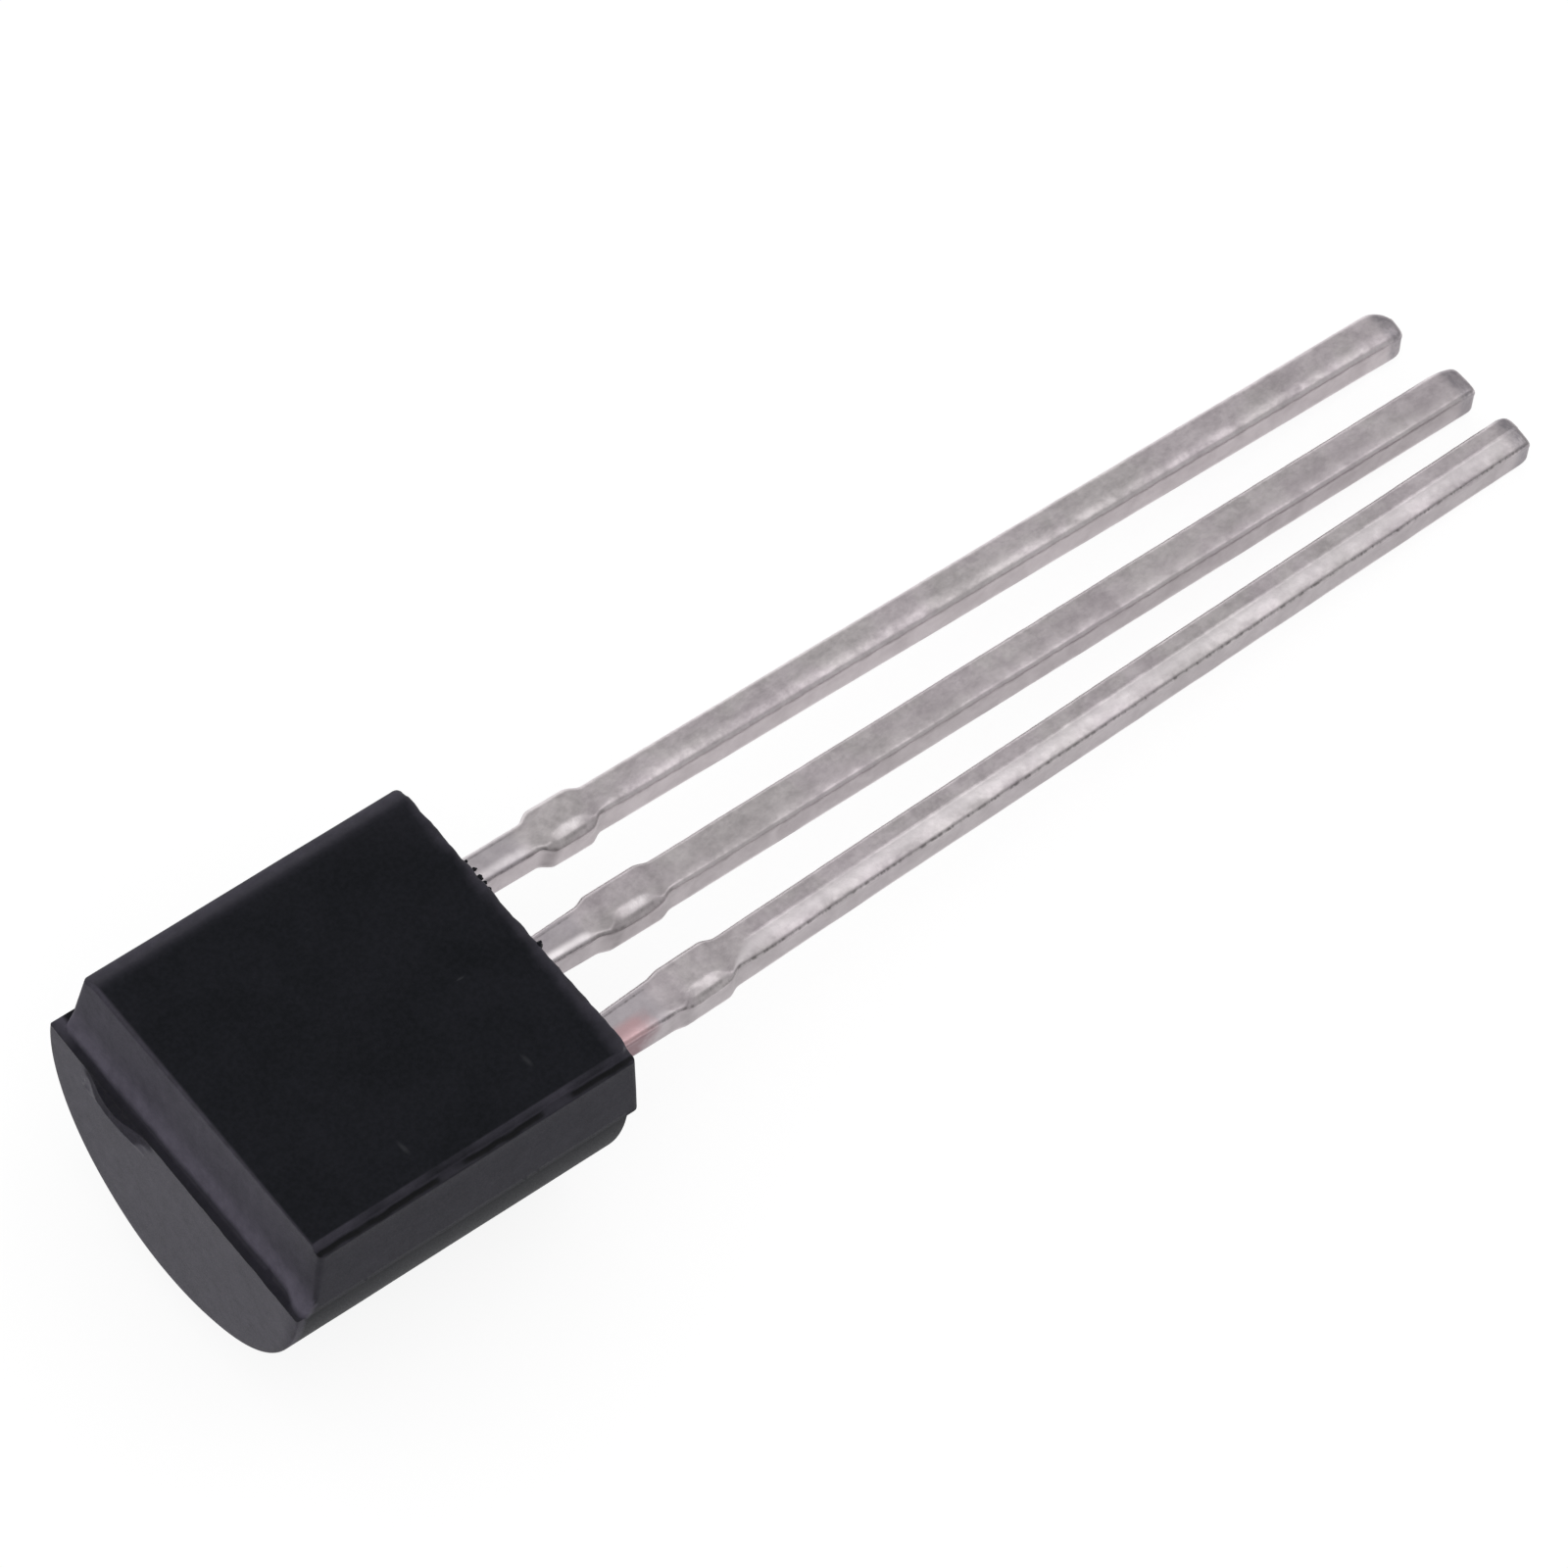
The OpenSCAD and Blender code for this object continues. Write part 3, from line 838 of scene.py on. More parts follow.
class LeadTree:
    """Geometry Nodes tree of one stamped lead: its neck, dam-bar shoulder, shank and tip.

    In its methods s is the place along the lead, y and z are places in its section, and across
    and up are the same as shares of the half-width and the half-height, from -1 to 1.
    """

    SECTION_POINTS = 104
    CORNER_POINTS = 6
    TIP_RINGS = 10.0
    SCOOP_KNEE = 0.38
    SCOOP_KNEE_DEPTH = 0.36
    SCOOP_FLOOR = 0.78

    def __init__(self) -> None:
        """Builds the tree."""
        inputs = {label(name): value for name, value in asdict(LeadShape()).items()} | {"Material": "Material"}
        self.graph, given = new_group("stamped_lead", "GeometryNodeTree", inputs, {"Geometry": "Geometry"})
        self.size = LeadShape(*(given[label(item.name)] for item in fields(LeadShape)))
        self._build(given["Material"])

    def _build(self, material: Field) -> None:
        """Adds every node, from the plain bar to the finished lead."""
        graph, size = self.graph, self.size
        bar = self._plain_bar()
        s, y, z = graph.split(graph.add("GeometryNodeInputPosition").outputs[0])
        reach = size.ring_spacing * self.TIP_RINGS
        close = ((s - (size.length - reach)) / reach).at_least(0.0).at_most(1.0)
        s = s.at_most(size.length - reach) + reach * graph.math("SINE", close * (math.pi / 2))
        half_width, half_height = size.shank_width * 0.5, size.thickness * 0.5
        across, up = y / half_width, z / half_height
        near, below = (share.ramp(0.02, -0.02, smooth=False) for share in (across, up))
        corner_length = self._mix(size.far_tip_length, size.near_tip_length, near)
        corner_width = self._mix(size.far_tip_width, size.near_tip_width, near)
        corner_height = self._mix(size.tip_drop, size.tip_rise, below)
        wide = self._width_at(s) * 0.5 - self._nose(s, corner_length) * corner_width
        tall = half_height - self._nose(s, corner_height) * corner_height
        y, z, roll = self._rolled_edges(s, across, up, across * wide, up * tall, wide, near)
        y, z = self._wavering(s, y, z, up)
        y, z = self._twisted(s, y, z)
        x, y = self._leant(s, y)
        marks = ((Mark.ALONG, s, "FLOAT"), (Mark.SECTION, graph.vector(across, up, roll), "FLOAT_VECTOR"))
        for mark, value, kind in marks:
            feeds = {"Geometry": bar, "Name": mark.value, "Value": value}
            bar = graph.add("GeometryNodeStoreNamedAttribute", feeds, data_type=kind, domain="POINT").outputs[0]
        moved = graph.add("GeometryNodeSetPosition", {"Geometry": bar, "Position": graph.vector(x, y, z)})
        end_tree(graph, moved.outputs[0], material)

    @staticmethod
    def _mix(first: Field, second: Field, share: Field) -> Field:
        """From the first value at share 0 to the second at share 1."""
        return first + (second - first) * share

    def _plain_bar(self) -> Socket:
        """A straight bar of the shank's section, as evenly spaced rings."""
        graph, size = self.graph, self.size
        ends = {"Start": graph.vector(0.0 - size.inner_length, 0.0, 0.0), "End": graph.vector(size.length, 0.0, 0.0)}
        line = graph.add("GeometryNodeCurvePrimitiveLine", ends).outputs[0]
        feeds = {"Curve": line, "Length": size.ring_spacing}
        rings = graph.add("GeometryNodeResampleCurve", feeds, mode="LENGTH").outputs[0]
        feeds = {"Width": size.shank_width, "Height": size.thickness}
        outline = graph.add("GeometryNodeCurvePrimitiveQuadrilateral", feeds).outputs[0]
        feeds = {"Curve": outline, "Radius": size.edge_radius, "Count": self.CORNER_POINTS}
        rounded = graph.add("GeometryNodeFilletCurve", feeds, mode="POLY").outputs[0]
        feeds = {"Curve": rounded, "Count": self.SECTION_POINTS}
        even = graph.add("GeometryNodeResampleCurve", feeds, mode="COUNT").outputs[0]
        feeds = {"Curve": rings, "Profile Curve": even, "Fill Caps": True}
        return graph.add("GeometryNodeCurveToMesh", feeds).outputs[0]

    def _width_at(self, s: Field) -> Field:
        """Width of the lead at each place along it."""
        size = self.size
        end = size.dam_start + size.dam_length
        width = size.root_width + (size.neck_width - size.root_width) * s.ramp(0.0, size.dam_start, smooth=False)
        width = width + (size.dam_width - size.neck_width) * s.ramp(size.dam_start, size.dam_start + size.dam_slope)
        width = width + (size.shank_width - size.dam_width) * s.ramp(end - size.dam_slope, end)
        return width + (size.tip_width - size.shank_width) * s.ramp(end, size.length, smooth=False)

    def _nose(self, s: Field, length: Field) -> Field:
        """0 along the lead, rising to 1 over that length of its end, as a quarter ellipse."""
        t = ((s - (self.size.length - length)) / length).at_least(0.0).at_most(1.0)
        return 1.0 - self.graph.math("SQRT", (1.0 - t * t).at_least(0.0))

    def _rolled_edges(
        self, s: Field, across: Field, up: Field, y: Field, z: Field, wide: Field, near: Field
    ) -> tuple[Field, Field, Field]:
        """Rolls both top edges down and sinks the scoop into the near one.

        Args:
            s: Place along the lead.
            across: Share of the half-width.
            up: Share of the half-height.
            y: Place across.
            z: Place upwards.
            wide: Half-width there.
            near: 1 on the near half of the section, 0 on the far half.

        Returns:
            The new places across and upwards, and how far into the near roll each point is.
        """
        graph, size = self.graph, self.size
        end = size.dam_start + size.dam_length
        neck, shank = s.ramp(size.dam_start + 0.06, size.dam_start - 0.12), s.ramp(end - 0.25, end + 0.45)
        wobble = graph.cloud((s * 0.7, near * 5.0, size.seed), 1.0, 1.0, 0.4) * 0.5 + 0.75
        near_width = size.neck_roll_width * neck + size.near_roll_width * shank + 0.02
        near_depth = size.neck_roll_depth * neck + size.near_roll_depth * shank
        width = self._mix(size.far_roll_width, near_width, near) * wobble
        depth = self._mix(size.far_roll_depth, near_depth, near) * wobble
        inwards = (wide - y.size()).at_least(0.0)
        share = (1.0 - inwards / width).at_least(0.0)
        outside = s.ramp(-0.3, -0.1)
        sunk = (depth * share * share * outside).at_least(self._scoop(s, inwards) * near)
        z = z - sunk * ((up + 1.0) * 0.5).at_least(0.0)
        ragged = graph.cloud((s * 7.0, near * 3.0, size.seed), 1.0, 2.0, 0.6).ramp(0.25, 0.7)
        lip = size.lip * outside * up.hump(0.72, 0.3) * ragged
        y = y + across.sign() * lip * across.size().ramp(0.8, 0.95)
        return y, z * (1.0 - s.ramp(-0.15, -0.3) * 0.01), share * near * up.above(0.9) * outside

    def _scoop(self, s: Field, inwards: Field) -> Field:
        """Depth of the hollow: steep at the lead's side, gentle further in, rounded end to end."""
        size = self.size
        along = (s - (size.dam_start + size.dam_length * 0.5)) / (size.scoop_length * 0.5)
        ragged = self.graph.cloud((s * 6.0, 0.0, size.seed + 9.0), 1.0, 2.0, 0.6)
        inner = inwards / size.scoop_reach + (ragged - 0.5) * 0.12
        gentle = (1.0 - inner) * (self.SCOOP_KNEE_DEPTH / (1.0 - self.SCOOP_KNEE))
        steep = (1.0 - inner * (1.0 / self.SCOOP_KNEE)) * (1.0 - self.SCOOP_KNEE_DEPTH) + self.SCOOP_KNEE_DEPTH
        bowl = along * along
        return size.scoop_depth * (gentle.at_least(steep).at_most(self.SCOOP_FLOOR) - bowl * bowl).at_least(0.0)

    def _wavering(self, s: Field, y: Field, z: Field, up: Field) -> tuple[Field, Field]:
        """Adds the slow wander of a formed strip and the shallow dents of its plated top."""
        graph, size = self.graph, self.size
        outside = s.ramp(0.0, 1.2)
        feeds = {"Vector": graph.vector(s * 0.35, size.seed, 0.0), "Scale": 1.0, "Detail": 1.0}
        drift = graph.split(graph.add("ShaderNodeTexNoise", feeds).outputs["Color"])
        side = (graph.cloud((s * 2.2, y.sign() * 4.0, size.seed), 1.0, 2.0, 0.5) - 0.5) * y
        dent = graph.cloud((s * 1.8, y * 2.6, size.seed + z.sign() * 3.0), 1.0, 2.0, 0.55) - 0.5
        y = y + ((drift[0] - 0.5) * size.waver + side * size.waver * 1.5) * outside
        z = z + (drift[1] - 0.5) * size.waver * outside + dent * size.dents * 4.0 * outside * up
        return y, z

    def _turned(self, angle: Field) -> tuple[Field, Field]:
        """Cosine and sine of an angle in degrees."""
        return self.graph.math("COSINE", angle), self.graph.math("SINE", angle)

    def _twisted(self, s: Field, y: Field, z: Field) -> tuple[Field, Field]:
        """Turns each section about the lead's middle line, more and more towards the tip."""
        size = self.size
        end = size.dam_start + size.dam_length
        turn = size.shank_twist * s.ramp(size.dam_start, end)
        turn = turn + (size.tip_twist - size.shank_twist) * s.ramp(end, size.length, smooth=False)
        cosine, sine = self._turned(turn * (math.pi / 180.0))
        return y * cosine + z * sine, z * cosine - y * sine

    def _leant(self, s: Field, y: Field) -> tuple[Field, Field]:
        """Turns the part outside the block about its root, by the lean."""
        cosine, sine = self._turned(self.size.lean * (math.pi / 180.0) * s.above(0.0))
        return s * cosine - y * sine, s * sine + y * cosine


@dataclass
class Lead:
    """One lead of the frame, from its bonding post or pad inside the block to its tip."""

    node: str
    root: Pair
    shape: LeadShape
    finish: TinFinish

    def build(self, tree: LeadTree, plate: Piece, effects: Effects) -> Piece:
        """Makes the lead in the device's frame.

        Args:
            tree: The stamped lead's tree.
            plate: The post or pad that its inner end is part of.
            effects: The shared node groups.

        Returns:
            The lead, in millimetres.
        """
        values = {label(name): value for name, value in asdict(self.shape).items()}
        values["Material"] = self.finish.material(effects, self.shape.length)
        piece = run_tree(f"{self.node}_plated", tree.graph.tree, values)
        piece.data.transform(Matrix.Translation((*self.root, 0.0)))
        dress(plate, piece.data.materials[0])
        carve(piece, plate, Cut.JOIN)
        smooth_faces(piece, 40.0)
        return piece


@dataclass
class LeadFrame:
    """The three leads, the two bonding posts and the chip's pad, stamped from one sheet."""

    pitch: float = 1.27
    offset: float = -0.09
    thickness: float = 0.46
    bend: float = 0.24815
    post_end: float = 1.25
    post_length: float = 0.62
    post_inward: float = 0.5
    post_outward: float = 0.32
    pad_start: float = 1.5
    pad_length: float = 1.8
    pad_width: float = 1.9
    pad_chamfer: float = 0.2
    notch_radius: float = 0.16
    corner_radius: float = 0.02

    def _lead(
        self, node: str, places: float, nudge: float, length: float, inner_end: float,
        finish: TinFinish, **sizes: float,
    ) -> Lead:
        """One lead of the row.

        Args:
            node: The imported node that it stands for.
            places: Its place in the row, in pitches from the middle one.
            nudge: How far it stands from there.
            length: Where its tip lies, from the block's end.
            inner_end: How far it reaches into the block.
            finish: Its plating.
            **sizes: Other sizes of its shape.

        Returns:
            The lead.
        """
        lengths = {"length": length - self.bend, "inner_length": self.bend + inner_end}
        shape = LeadShape(**lengths, thickness=self.thickness, **sizes)
        return Lead(node, (self.bend, self.offset + places * self.pitch + nudge), shape, finish)

    def leads(self) -> list[Lead]:
        """The emitter, collector and base leads, from the near side to the far side."""
        stem, pad = self.post_end - self.post_length / 2, self.pad_start + 0.2
        # Each finish sets its own painted highlights and painted shade, and its side walls' tone, which is partly
        # painted shade.
        copper = TinFinish(
            "tin_plating_emitter", wall=(0.45, 0.41, 0.425), copper_end=0.7, stripe=0.52,
            burr_strength=0.78, neck_burr=0.7, scoop=0.2, hem=0.0,
        )
        shaded = TinFinish(
            "tin_plating_collector", wall=(0.475, 0.43, 0.445), shade=0.25, neck_stripe=1.0,
            burr_strength=0.06, hem=0.3, shoulder=(0.85, 1.87),
        )
        plain = TinFinish(neck_stripe=0.5)
        emitter = self._lead(
            "emitter_lead", -1.0, 0.004, 14.30, stem, copper, root_width=0.5, neck_width=0.56, dam_width=0.63,
            lean=1.44, seed=3.1, shank_width=0.5, tip_width=0.485, far_tip_length=0.16, far_tip_width=0.12,
            tip_rise=0.12, neck_roll_width=0.12, neck_roll_depth=0.02, near_roll_width=0.34,
            near_roll_depth=0.062, shank_twist=3.0, tip_twist=3.0, dam_start=0.88, dam_length=0.99,
        )
        collector = self._lead(
            "collector_lead", 0.0, 0.006, 14.22, pad, shaded, root_width=0.42, neck_width=0.48, dam_width=0.59,
            seed=7.7, shank_width=0.48, tip_width=0.49, far_tip_length=0.38, far_tip_width=0.13,
            neck_roll_width=0.14, neck_roll_depth=0.027, near_roll_width=0.2, near_roll_depth=0.026,
            shank_twist=3.0, tip_twist=3.5, dam_start=0.79, dam_length=1.08,
        )
        base = self._lead(
            "base_lead", 1.0, 0.003, 14.05, stem, plain, root_width=0.41, neck_width=0.42, dam_width=0.61,
            lean=-0.69, seed=12.4, shank_width=0.445, tip_width=0.495, far_tip_length=0.28, far_tip_width=0.36,
            near_tip_length=0.1, near_tip_width=0.08, tip_rise=0.16, neck_roll_width=0.16,
            near_roll_width=0.2, near_roll_depth=0.055, shank_twist=3.5, tip_twist=6.5, dam_length=0.91,
        )
        return [emitter, collector, base]

    def plates(self) -> list[Piece]:
        """The inner plate of each lead, in the same order."""
        return [self._post("emitter_post", -1.0), self._pad(), self._post("base_post", 1.0)]

    def _post(self, name: str, side: float) -> Piece:
        """Bonding post on an outer lead; side is its place in the row."""
        middle = self.offset + side * self.pitch
        ys = sorted((middle - side * self.post_inward, middle + side * self.post_outward))
        ends = (-self.post_end, -self.post_end + self.post_length)
        return self._plate(name, [(ends[0], ys[0]), (ends[1], ys[0]), (ends[1], ys[1]), (ends[0], ys[1])])

    def _pad(self) -> Piece:
        """The chip's pad: a rectangle with chamfered corners and two locking notches."""
        start, end = -self.pad_start - self.pad_length, -self.pad_start
        half, cut = self.pad_width / 2, self.pad_chamfer
        outline = [(start, -half + cut), (start + cut, -half)]
        outline += self._notch(-half, (start + end) / 2, 1.0)
        outline += [(end - cut, -half), (end, -half + cut), (end, half - cut), (end - cut, half)]
        outline += self._notch(half, (start + end) / 2, -1.0)
        outline += [(start + cut, half), (start, half - cut)]
        return self._plate("chip_pad", [(x, y + self.offset) for x, y in outline])

    def _notch(self, edge: float, middle: float, side: float) -> list[Pair]:
        """Half circle cut into the pad's edge, in the outline's direction."""
        reach = side * self.notch_radius
        angles = [math.pi * k / 12 for k in range(13)]
        return [(middle - reach * math.cos(a), edge + reach * math.sin(a)) for a in angles]

    def _plate(self, name: str, outline: list[Pair]) -> Piece:
        """A plate of the sheet's thickness with slightly rounded edges."""
        bench = bmesh.new()
        face = bench.faces.new([bench.verts.new((x, y, -self.thickness / 2)) for x, y in outline])
        grown = bmesh.ops.extrude_face_region(bench, geom=[face])
        lifted = [v for v in grown["geom"] if isinstance(v, bmesh.types.BMVert)]
        bmesh.ops.translate(bench, verts=lifted, vec=(0.0, 0.0, self.thickness))
        rims = [e for e in bench.edges if abs(e.verts[0].co.z - e.verts[1].co.z) < 1e-6]
        bmesh.ops.bevel(bench, geom=rims, offset=self.corner_radius, segments=3, affect="EDGES", profile=0.5)
        bmesh.ops.recalc_face_normals(bench, faces=bench.faces)
        mesh = bpy.data.meshes.new(name)
        bench.to_mesh(mesh)
        bench.free()
        return link(name, mesh)

    def build(self, effects: Effects) -> dict[str, Piece]:
        """Makes the three leads in the device's frame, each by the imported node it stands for."""
        tree = LeadTree()
        return {lead.node: lead.build(tree, plate, effects) for lead, plate in zip(self.leads(), self.plates())}


# --- Moulded block ------------------------------------------------------------------------


@dataclass
class MouldedBlock:
    """The block moulded round the lead frame: a drafted front half and a rounded back half."""

    face_length: float = 4.35
    front_width: float = 4.5
    front_height: float = 1.12
    front_draft: float = 4.5
    back_radius: float = 2.3
    back_shift: float = 0.07
    back_draft: float = 1.0
    top_ledge: float = 0.18
    lead_end_setback: float = 0.16
    panel_step: float = 0.07
    panel_ledge: float = 0.11
    panel_slope: float = 0.05
    panel_corner: float = 0.15
    gate_width: float = 1.2
    gate_depth: float = 0.42
    gate_out: float = 0.1
    gate_middle: float = 1.08
    wall_radius: float = 0.075
    rim_radius: float = 0.03
    line_spacing: float = 0.06
    gate_spacing: float = 0.03
    seam_rise: float = 0.002
    skew: float = 0.012
    end_fullness: float = 0.025
    back_end_fullness: float = 0.075
    near_fullness: float = 0.04
    foot_flare: float = 0.055
    corner_fill: float = 0.1
    node: str = "moulded_body"
    finish: EpoxyFinish = field(default_factory=EpoxyFinish)

    @property
    def slope(self) -> float:
        """How far the front half's walls lean in for each millimetre of height."""
        return math.tan(math.radians(self.front_draft))

    @property
    def ledge_height(self) -> float:
        """Height of the two ledges beside the raised panel."""
        return self.front_height - self.panel_step

    def front_ends(self) -> Pair:
        """Where the front half's two ends meet the parting plane."""
        run = self.front_height * self.slope
        return -self.face_length - run, run

    def back_ends(self) -> Pair:
        """Where the back half's two ends meet the parting plane."""
        top, lead = self.front_ends()
        return top - self.top_ledge, lead - self.lead_end_setback

    def panel_edges(self) -> tuple[float, float, float]:
        """Half-widths of the raised panel, of the foot of its slope and of the front half there."""
        outer = self.front_width / 2 - self.ledge_height * self.slope
        inner = outer - self.panel_ledge
        return inner - self.panel_slope, inner, outer

    def front_half(self) -> Piece:
        """The drafted front half, with its raised panel between two ledges."""
        low, high = self.front_ends()
        half_length, half_width = (high - low) / 2, self.front_width / 2
        height, radius, rim = self.front_height, self.wall_radius, self.rim_radius
        panel, foot, outer = self.panel_edges()
        steps = [y * half_width / outer for y in spread(panel - 0.02, foot + 0.02, 0.01)]
        xs = side_lines(-half_length, half_length, self.line_spacing, radius)
        ys = side_lines(-half_width, half_width, self.line_spacing, radius, steps + [-y for y in steps])
        walls = side_lines(0.0, height + rim, self.line_spacing, rim)
        zs = [0.0] + [z for z in walls if rim < z < height - rim] + [height - rim + t for t in rim_steps(rim)]
        points, quads = grid_block(xs, ys, np.unique(zs))
        core = np.array([half_length - radius, half_width - radius, height - rim])
        radii = np.array([radius, radius, rim])
        inner = np.clip(points, -core, core)
        points = inner + round_over((points - inner) / radii) * radii
        taper = points[:, 2] * self.slope
        points[:, 0] *= (half_length - taper) / half_length
        points[:, 1] *= (half_width - taper) / half_width
        points[:, 2] -= self.panel_step * self._panel_drop(points, half_length)
        points[:, 0] -= self._foot(points) * ease(-points[:, 0], half_length - 0.3, half_length - 0.1)
        fullness = self.end_fullness * ease(points[:, 0], 1.0, half_length)
        points[:, 0] += (low + high) / 2 - self.skew * points[:, 1] + fullness
        return mesh_object("front_half", self._worn(points, 5.0), quads)

    def _panel_drop(self, points: np.ndarray, half_length: float) -> np.ndarray:
        """Share of the step down at each point: crisp on the near side, soft on the far side."""
        panel, foot, outer = self.panel_edges()
        aside = np.abs(points[:, 1]) + ripple(points, 1.3, 31.0, 3) * 0.012
        to_lead_end = half_length - points[:, 0] - 0.09
        radius = self.panel_corner
        past = np.hypot(np.clip(radius - to_lead_end, 0.0, None), np.clip(aside - panel + radius, 0.0, None))
        corner = np.where(points[:, 1] < 0, past - radius + panel, 0.0)
        near = ease(np.maximum(aside, corner), panel, foot)
        drop = np.where(points[:, 1] > 0, ease(aside, panel - 0.1, outer - 0.005), near)
        return drop * np.clip((points[:, 2] - 0.4) / (self.front_height - self.rim_radius - 0.4), 0.0, 1.0)

    def _foot(self, points: np.ndarray) -> np.ndarray:
        """How far the top end's foot flares out, most at the near corner."""
        y, z = points[:, 1], points[:, 2]
        uneven = ripple(points, 2.4, 17.0, 3, (0.0, 1.0, 0.0)) * 0.012
        flare = (self.foot_flare + uneven) * fade(z, 0.0, 0.32)
        return flare + self.corner_fill * ease(-y, 1.8, 2.1) * fade(z, 0.0, 0.3)

    def back_half(self) -> Piece:
        """The rounded back half: a half disc from end to end, with rounded end rims."""
        low, high = self.back_ends()
        half_length, radius, rim = (high - low) / 2, self.back_radius, self.rim_radius
        xs = side_lines(-half_length, half_length, self.line_spacing, rim)
        ys = side_lines(-1.0, 1.0, self.line_spacing / 1.8, rim / radius)
        points, quads = grid_block(xs, ys, np.array([z for z in ys if z < -1e-6] + [0.0]))
        ring = np.abs(points[:, 1:]).max(axis=1)
        side, down = (points[:, 1:] / np.maximum(ring, 1e-9)[:, None]).T
        steep = np.sign(side) * (math.pi / 2 - math.pi / 4 * np.abs(down))
        angle = np.where(np.abs(down) > np.abs(side), math.pi / 4 * side, steep)
        flat = np.stack([points[:, 0], ring * radius], 1)
        limit = half_length - rim
        core = np.stack([np.clip(flat[:, 0], -limit, limit), np.minimum(flat[:, 1], radius - rim)], 1)
        rounded = core + round_over((flat - core) / rim) * rim
        full = np.exp(-(((angle + math.radians(48.0)) / math.radians(26.0)) ** 2)) * ease(-angle, 0.0, 0.3)
        reach = rounded[:, 1] * (1.0 + full * self.near_fullness / radius)
        y, z = reach * np.sin(angle), -reach * np.cos(angle)
        z[np.abs(points[:, 2]) < 1e-9] = 0.0
        taper = np.abs(z) * math.tan(math.radians(self.back_draft))
        x = rounded[:, 0] * (half_length - taper) / half_length + (low + high) / 2
        x += self.back_end_fullness * ease(rounded[:, 0], 1.5, half_length) * ease(np.abs(angle), 0.0, 0.5)
        shaped = np.stack([x, y + self.back_shift, z + self.seam_rise], 1)
        return mesh_object("back_half", self._worn(shaped, 9.0), quads)

    def _worn(self, points: np.ndarray, seed: float) -> np.ndarray:
        """Adds the faint waviness of moulded faces and the ragged lines at the parting plane and lead end."""
        x, z = points[:, 0], points[:, 2]
        swell = ripple(points, 0.7, seed) * 0.004
        near_seam = np.exp(-np.abs(z) / 0.1)
        half = self.face_length / 2
        ragged = ripple(points, 3.2, seed + 4.0, 3, (1.0, 1.0, 0.3)) * 0.009 * near_seam
        lead_end = ripple(points, 4.5, seed + 6.0, 3) * 0.02 * ease(x, -0.06, 0.0) * ease(z, 0.8, 1.05)
        moved = points.copy()
        moved[:, 0] += lead_end
        moved[:, 0] += swell + ragged * ease(np.abs(x + half), half - 0.05, half)
        moved[:, 1] += swell * 0.6 + ripple(points, 2.2, seed + 8.0) * 0.004 * near_seam
        moved[:, 2] += np.where(z < 0.01, 0.0, swell)
        return moved

    def gate_stub(self) -> Piece:
        """The torn stub where the resin runner was broken off."""
        low, depth, half = self.back_ends()[0] - self.gate_out, self.gate_out + 0.3, self.gate_width / 2
        xs = side_lines(low, low + depth, self.gate_spacing)
        ys = side_lines(self.gate_middle - half, self.gate_middle + half, self.gate_spacing)
        points, quads = grid_block(xs, ys, side_lines(-self.gate_depth, 0.0, self.gate_spacing))
        free = (low + depth - points[:, 0]) / depth
        torn, coarse = np.abs(ripple(points, 5.0, 2.0, 4)), ripple(points, 1.6, 6.0, 2)
        aside = ease(np.abs(points[:, 1] - self.gate_middle), self.gate_width * 0.02, self.gate_width * 0.5)
        under = fade(points[:, 2], -self.gate_depth, -self.gate_depth * 0.3)
        points[:, 0] += free * (np.maximum(aside, under) * self.gate_out + torn * 0.014 + coarse * 0.02)
        points[:, 2] -= np.where(points[:, 2] > -0.01, torn * 0.008 * free, 0.0)
        return mesh_object("gate_stub", points, quads)

    def build(self, cutters: Sequence[Piece]) -> Piece:
        """Makes the block in the device's frame.

        Args:
            cutters: Copies of what the resin flowed round, each of which leaves its own pocket.

        Returns:
            The block, in millimetres.
        """
        block = self.back_half()
        for part in (self.front_half(), self.gate_stub()):
            carve(block, part, Cut.JOIN)
        for cutter in cutters:
            carve(block, cutter, Cut.REMOVE)
        block.name = block.data.name = "moulded_block"
        smooth_faces(block, 32.0)
        places = np.empty(len(block.data.vertices) * 3)
        block.data.vertices.foreach_get("co", places)
        for mark, values in ResinMarks(self, places.reshape(-1, 3)).all().items():
            layer = block.data.attributes.new(mark.value, "FLOAT", "POINT")
            layer.data.foreach_set("value", values.astype(np.float32))
        return block


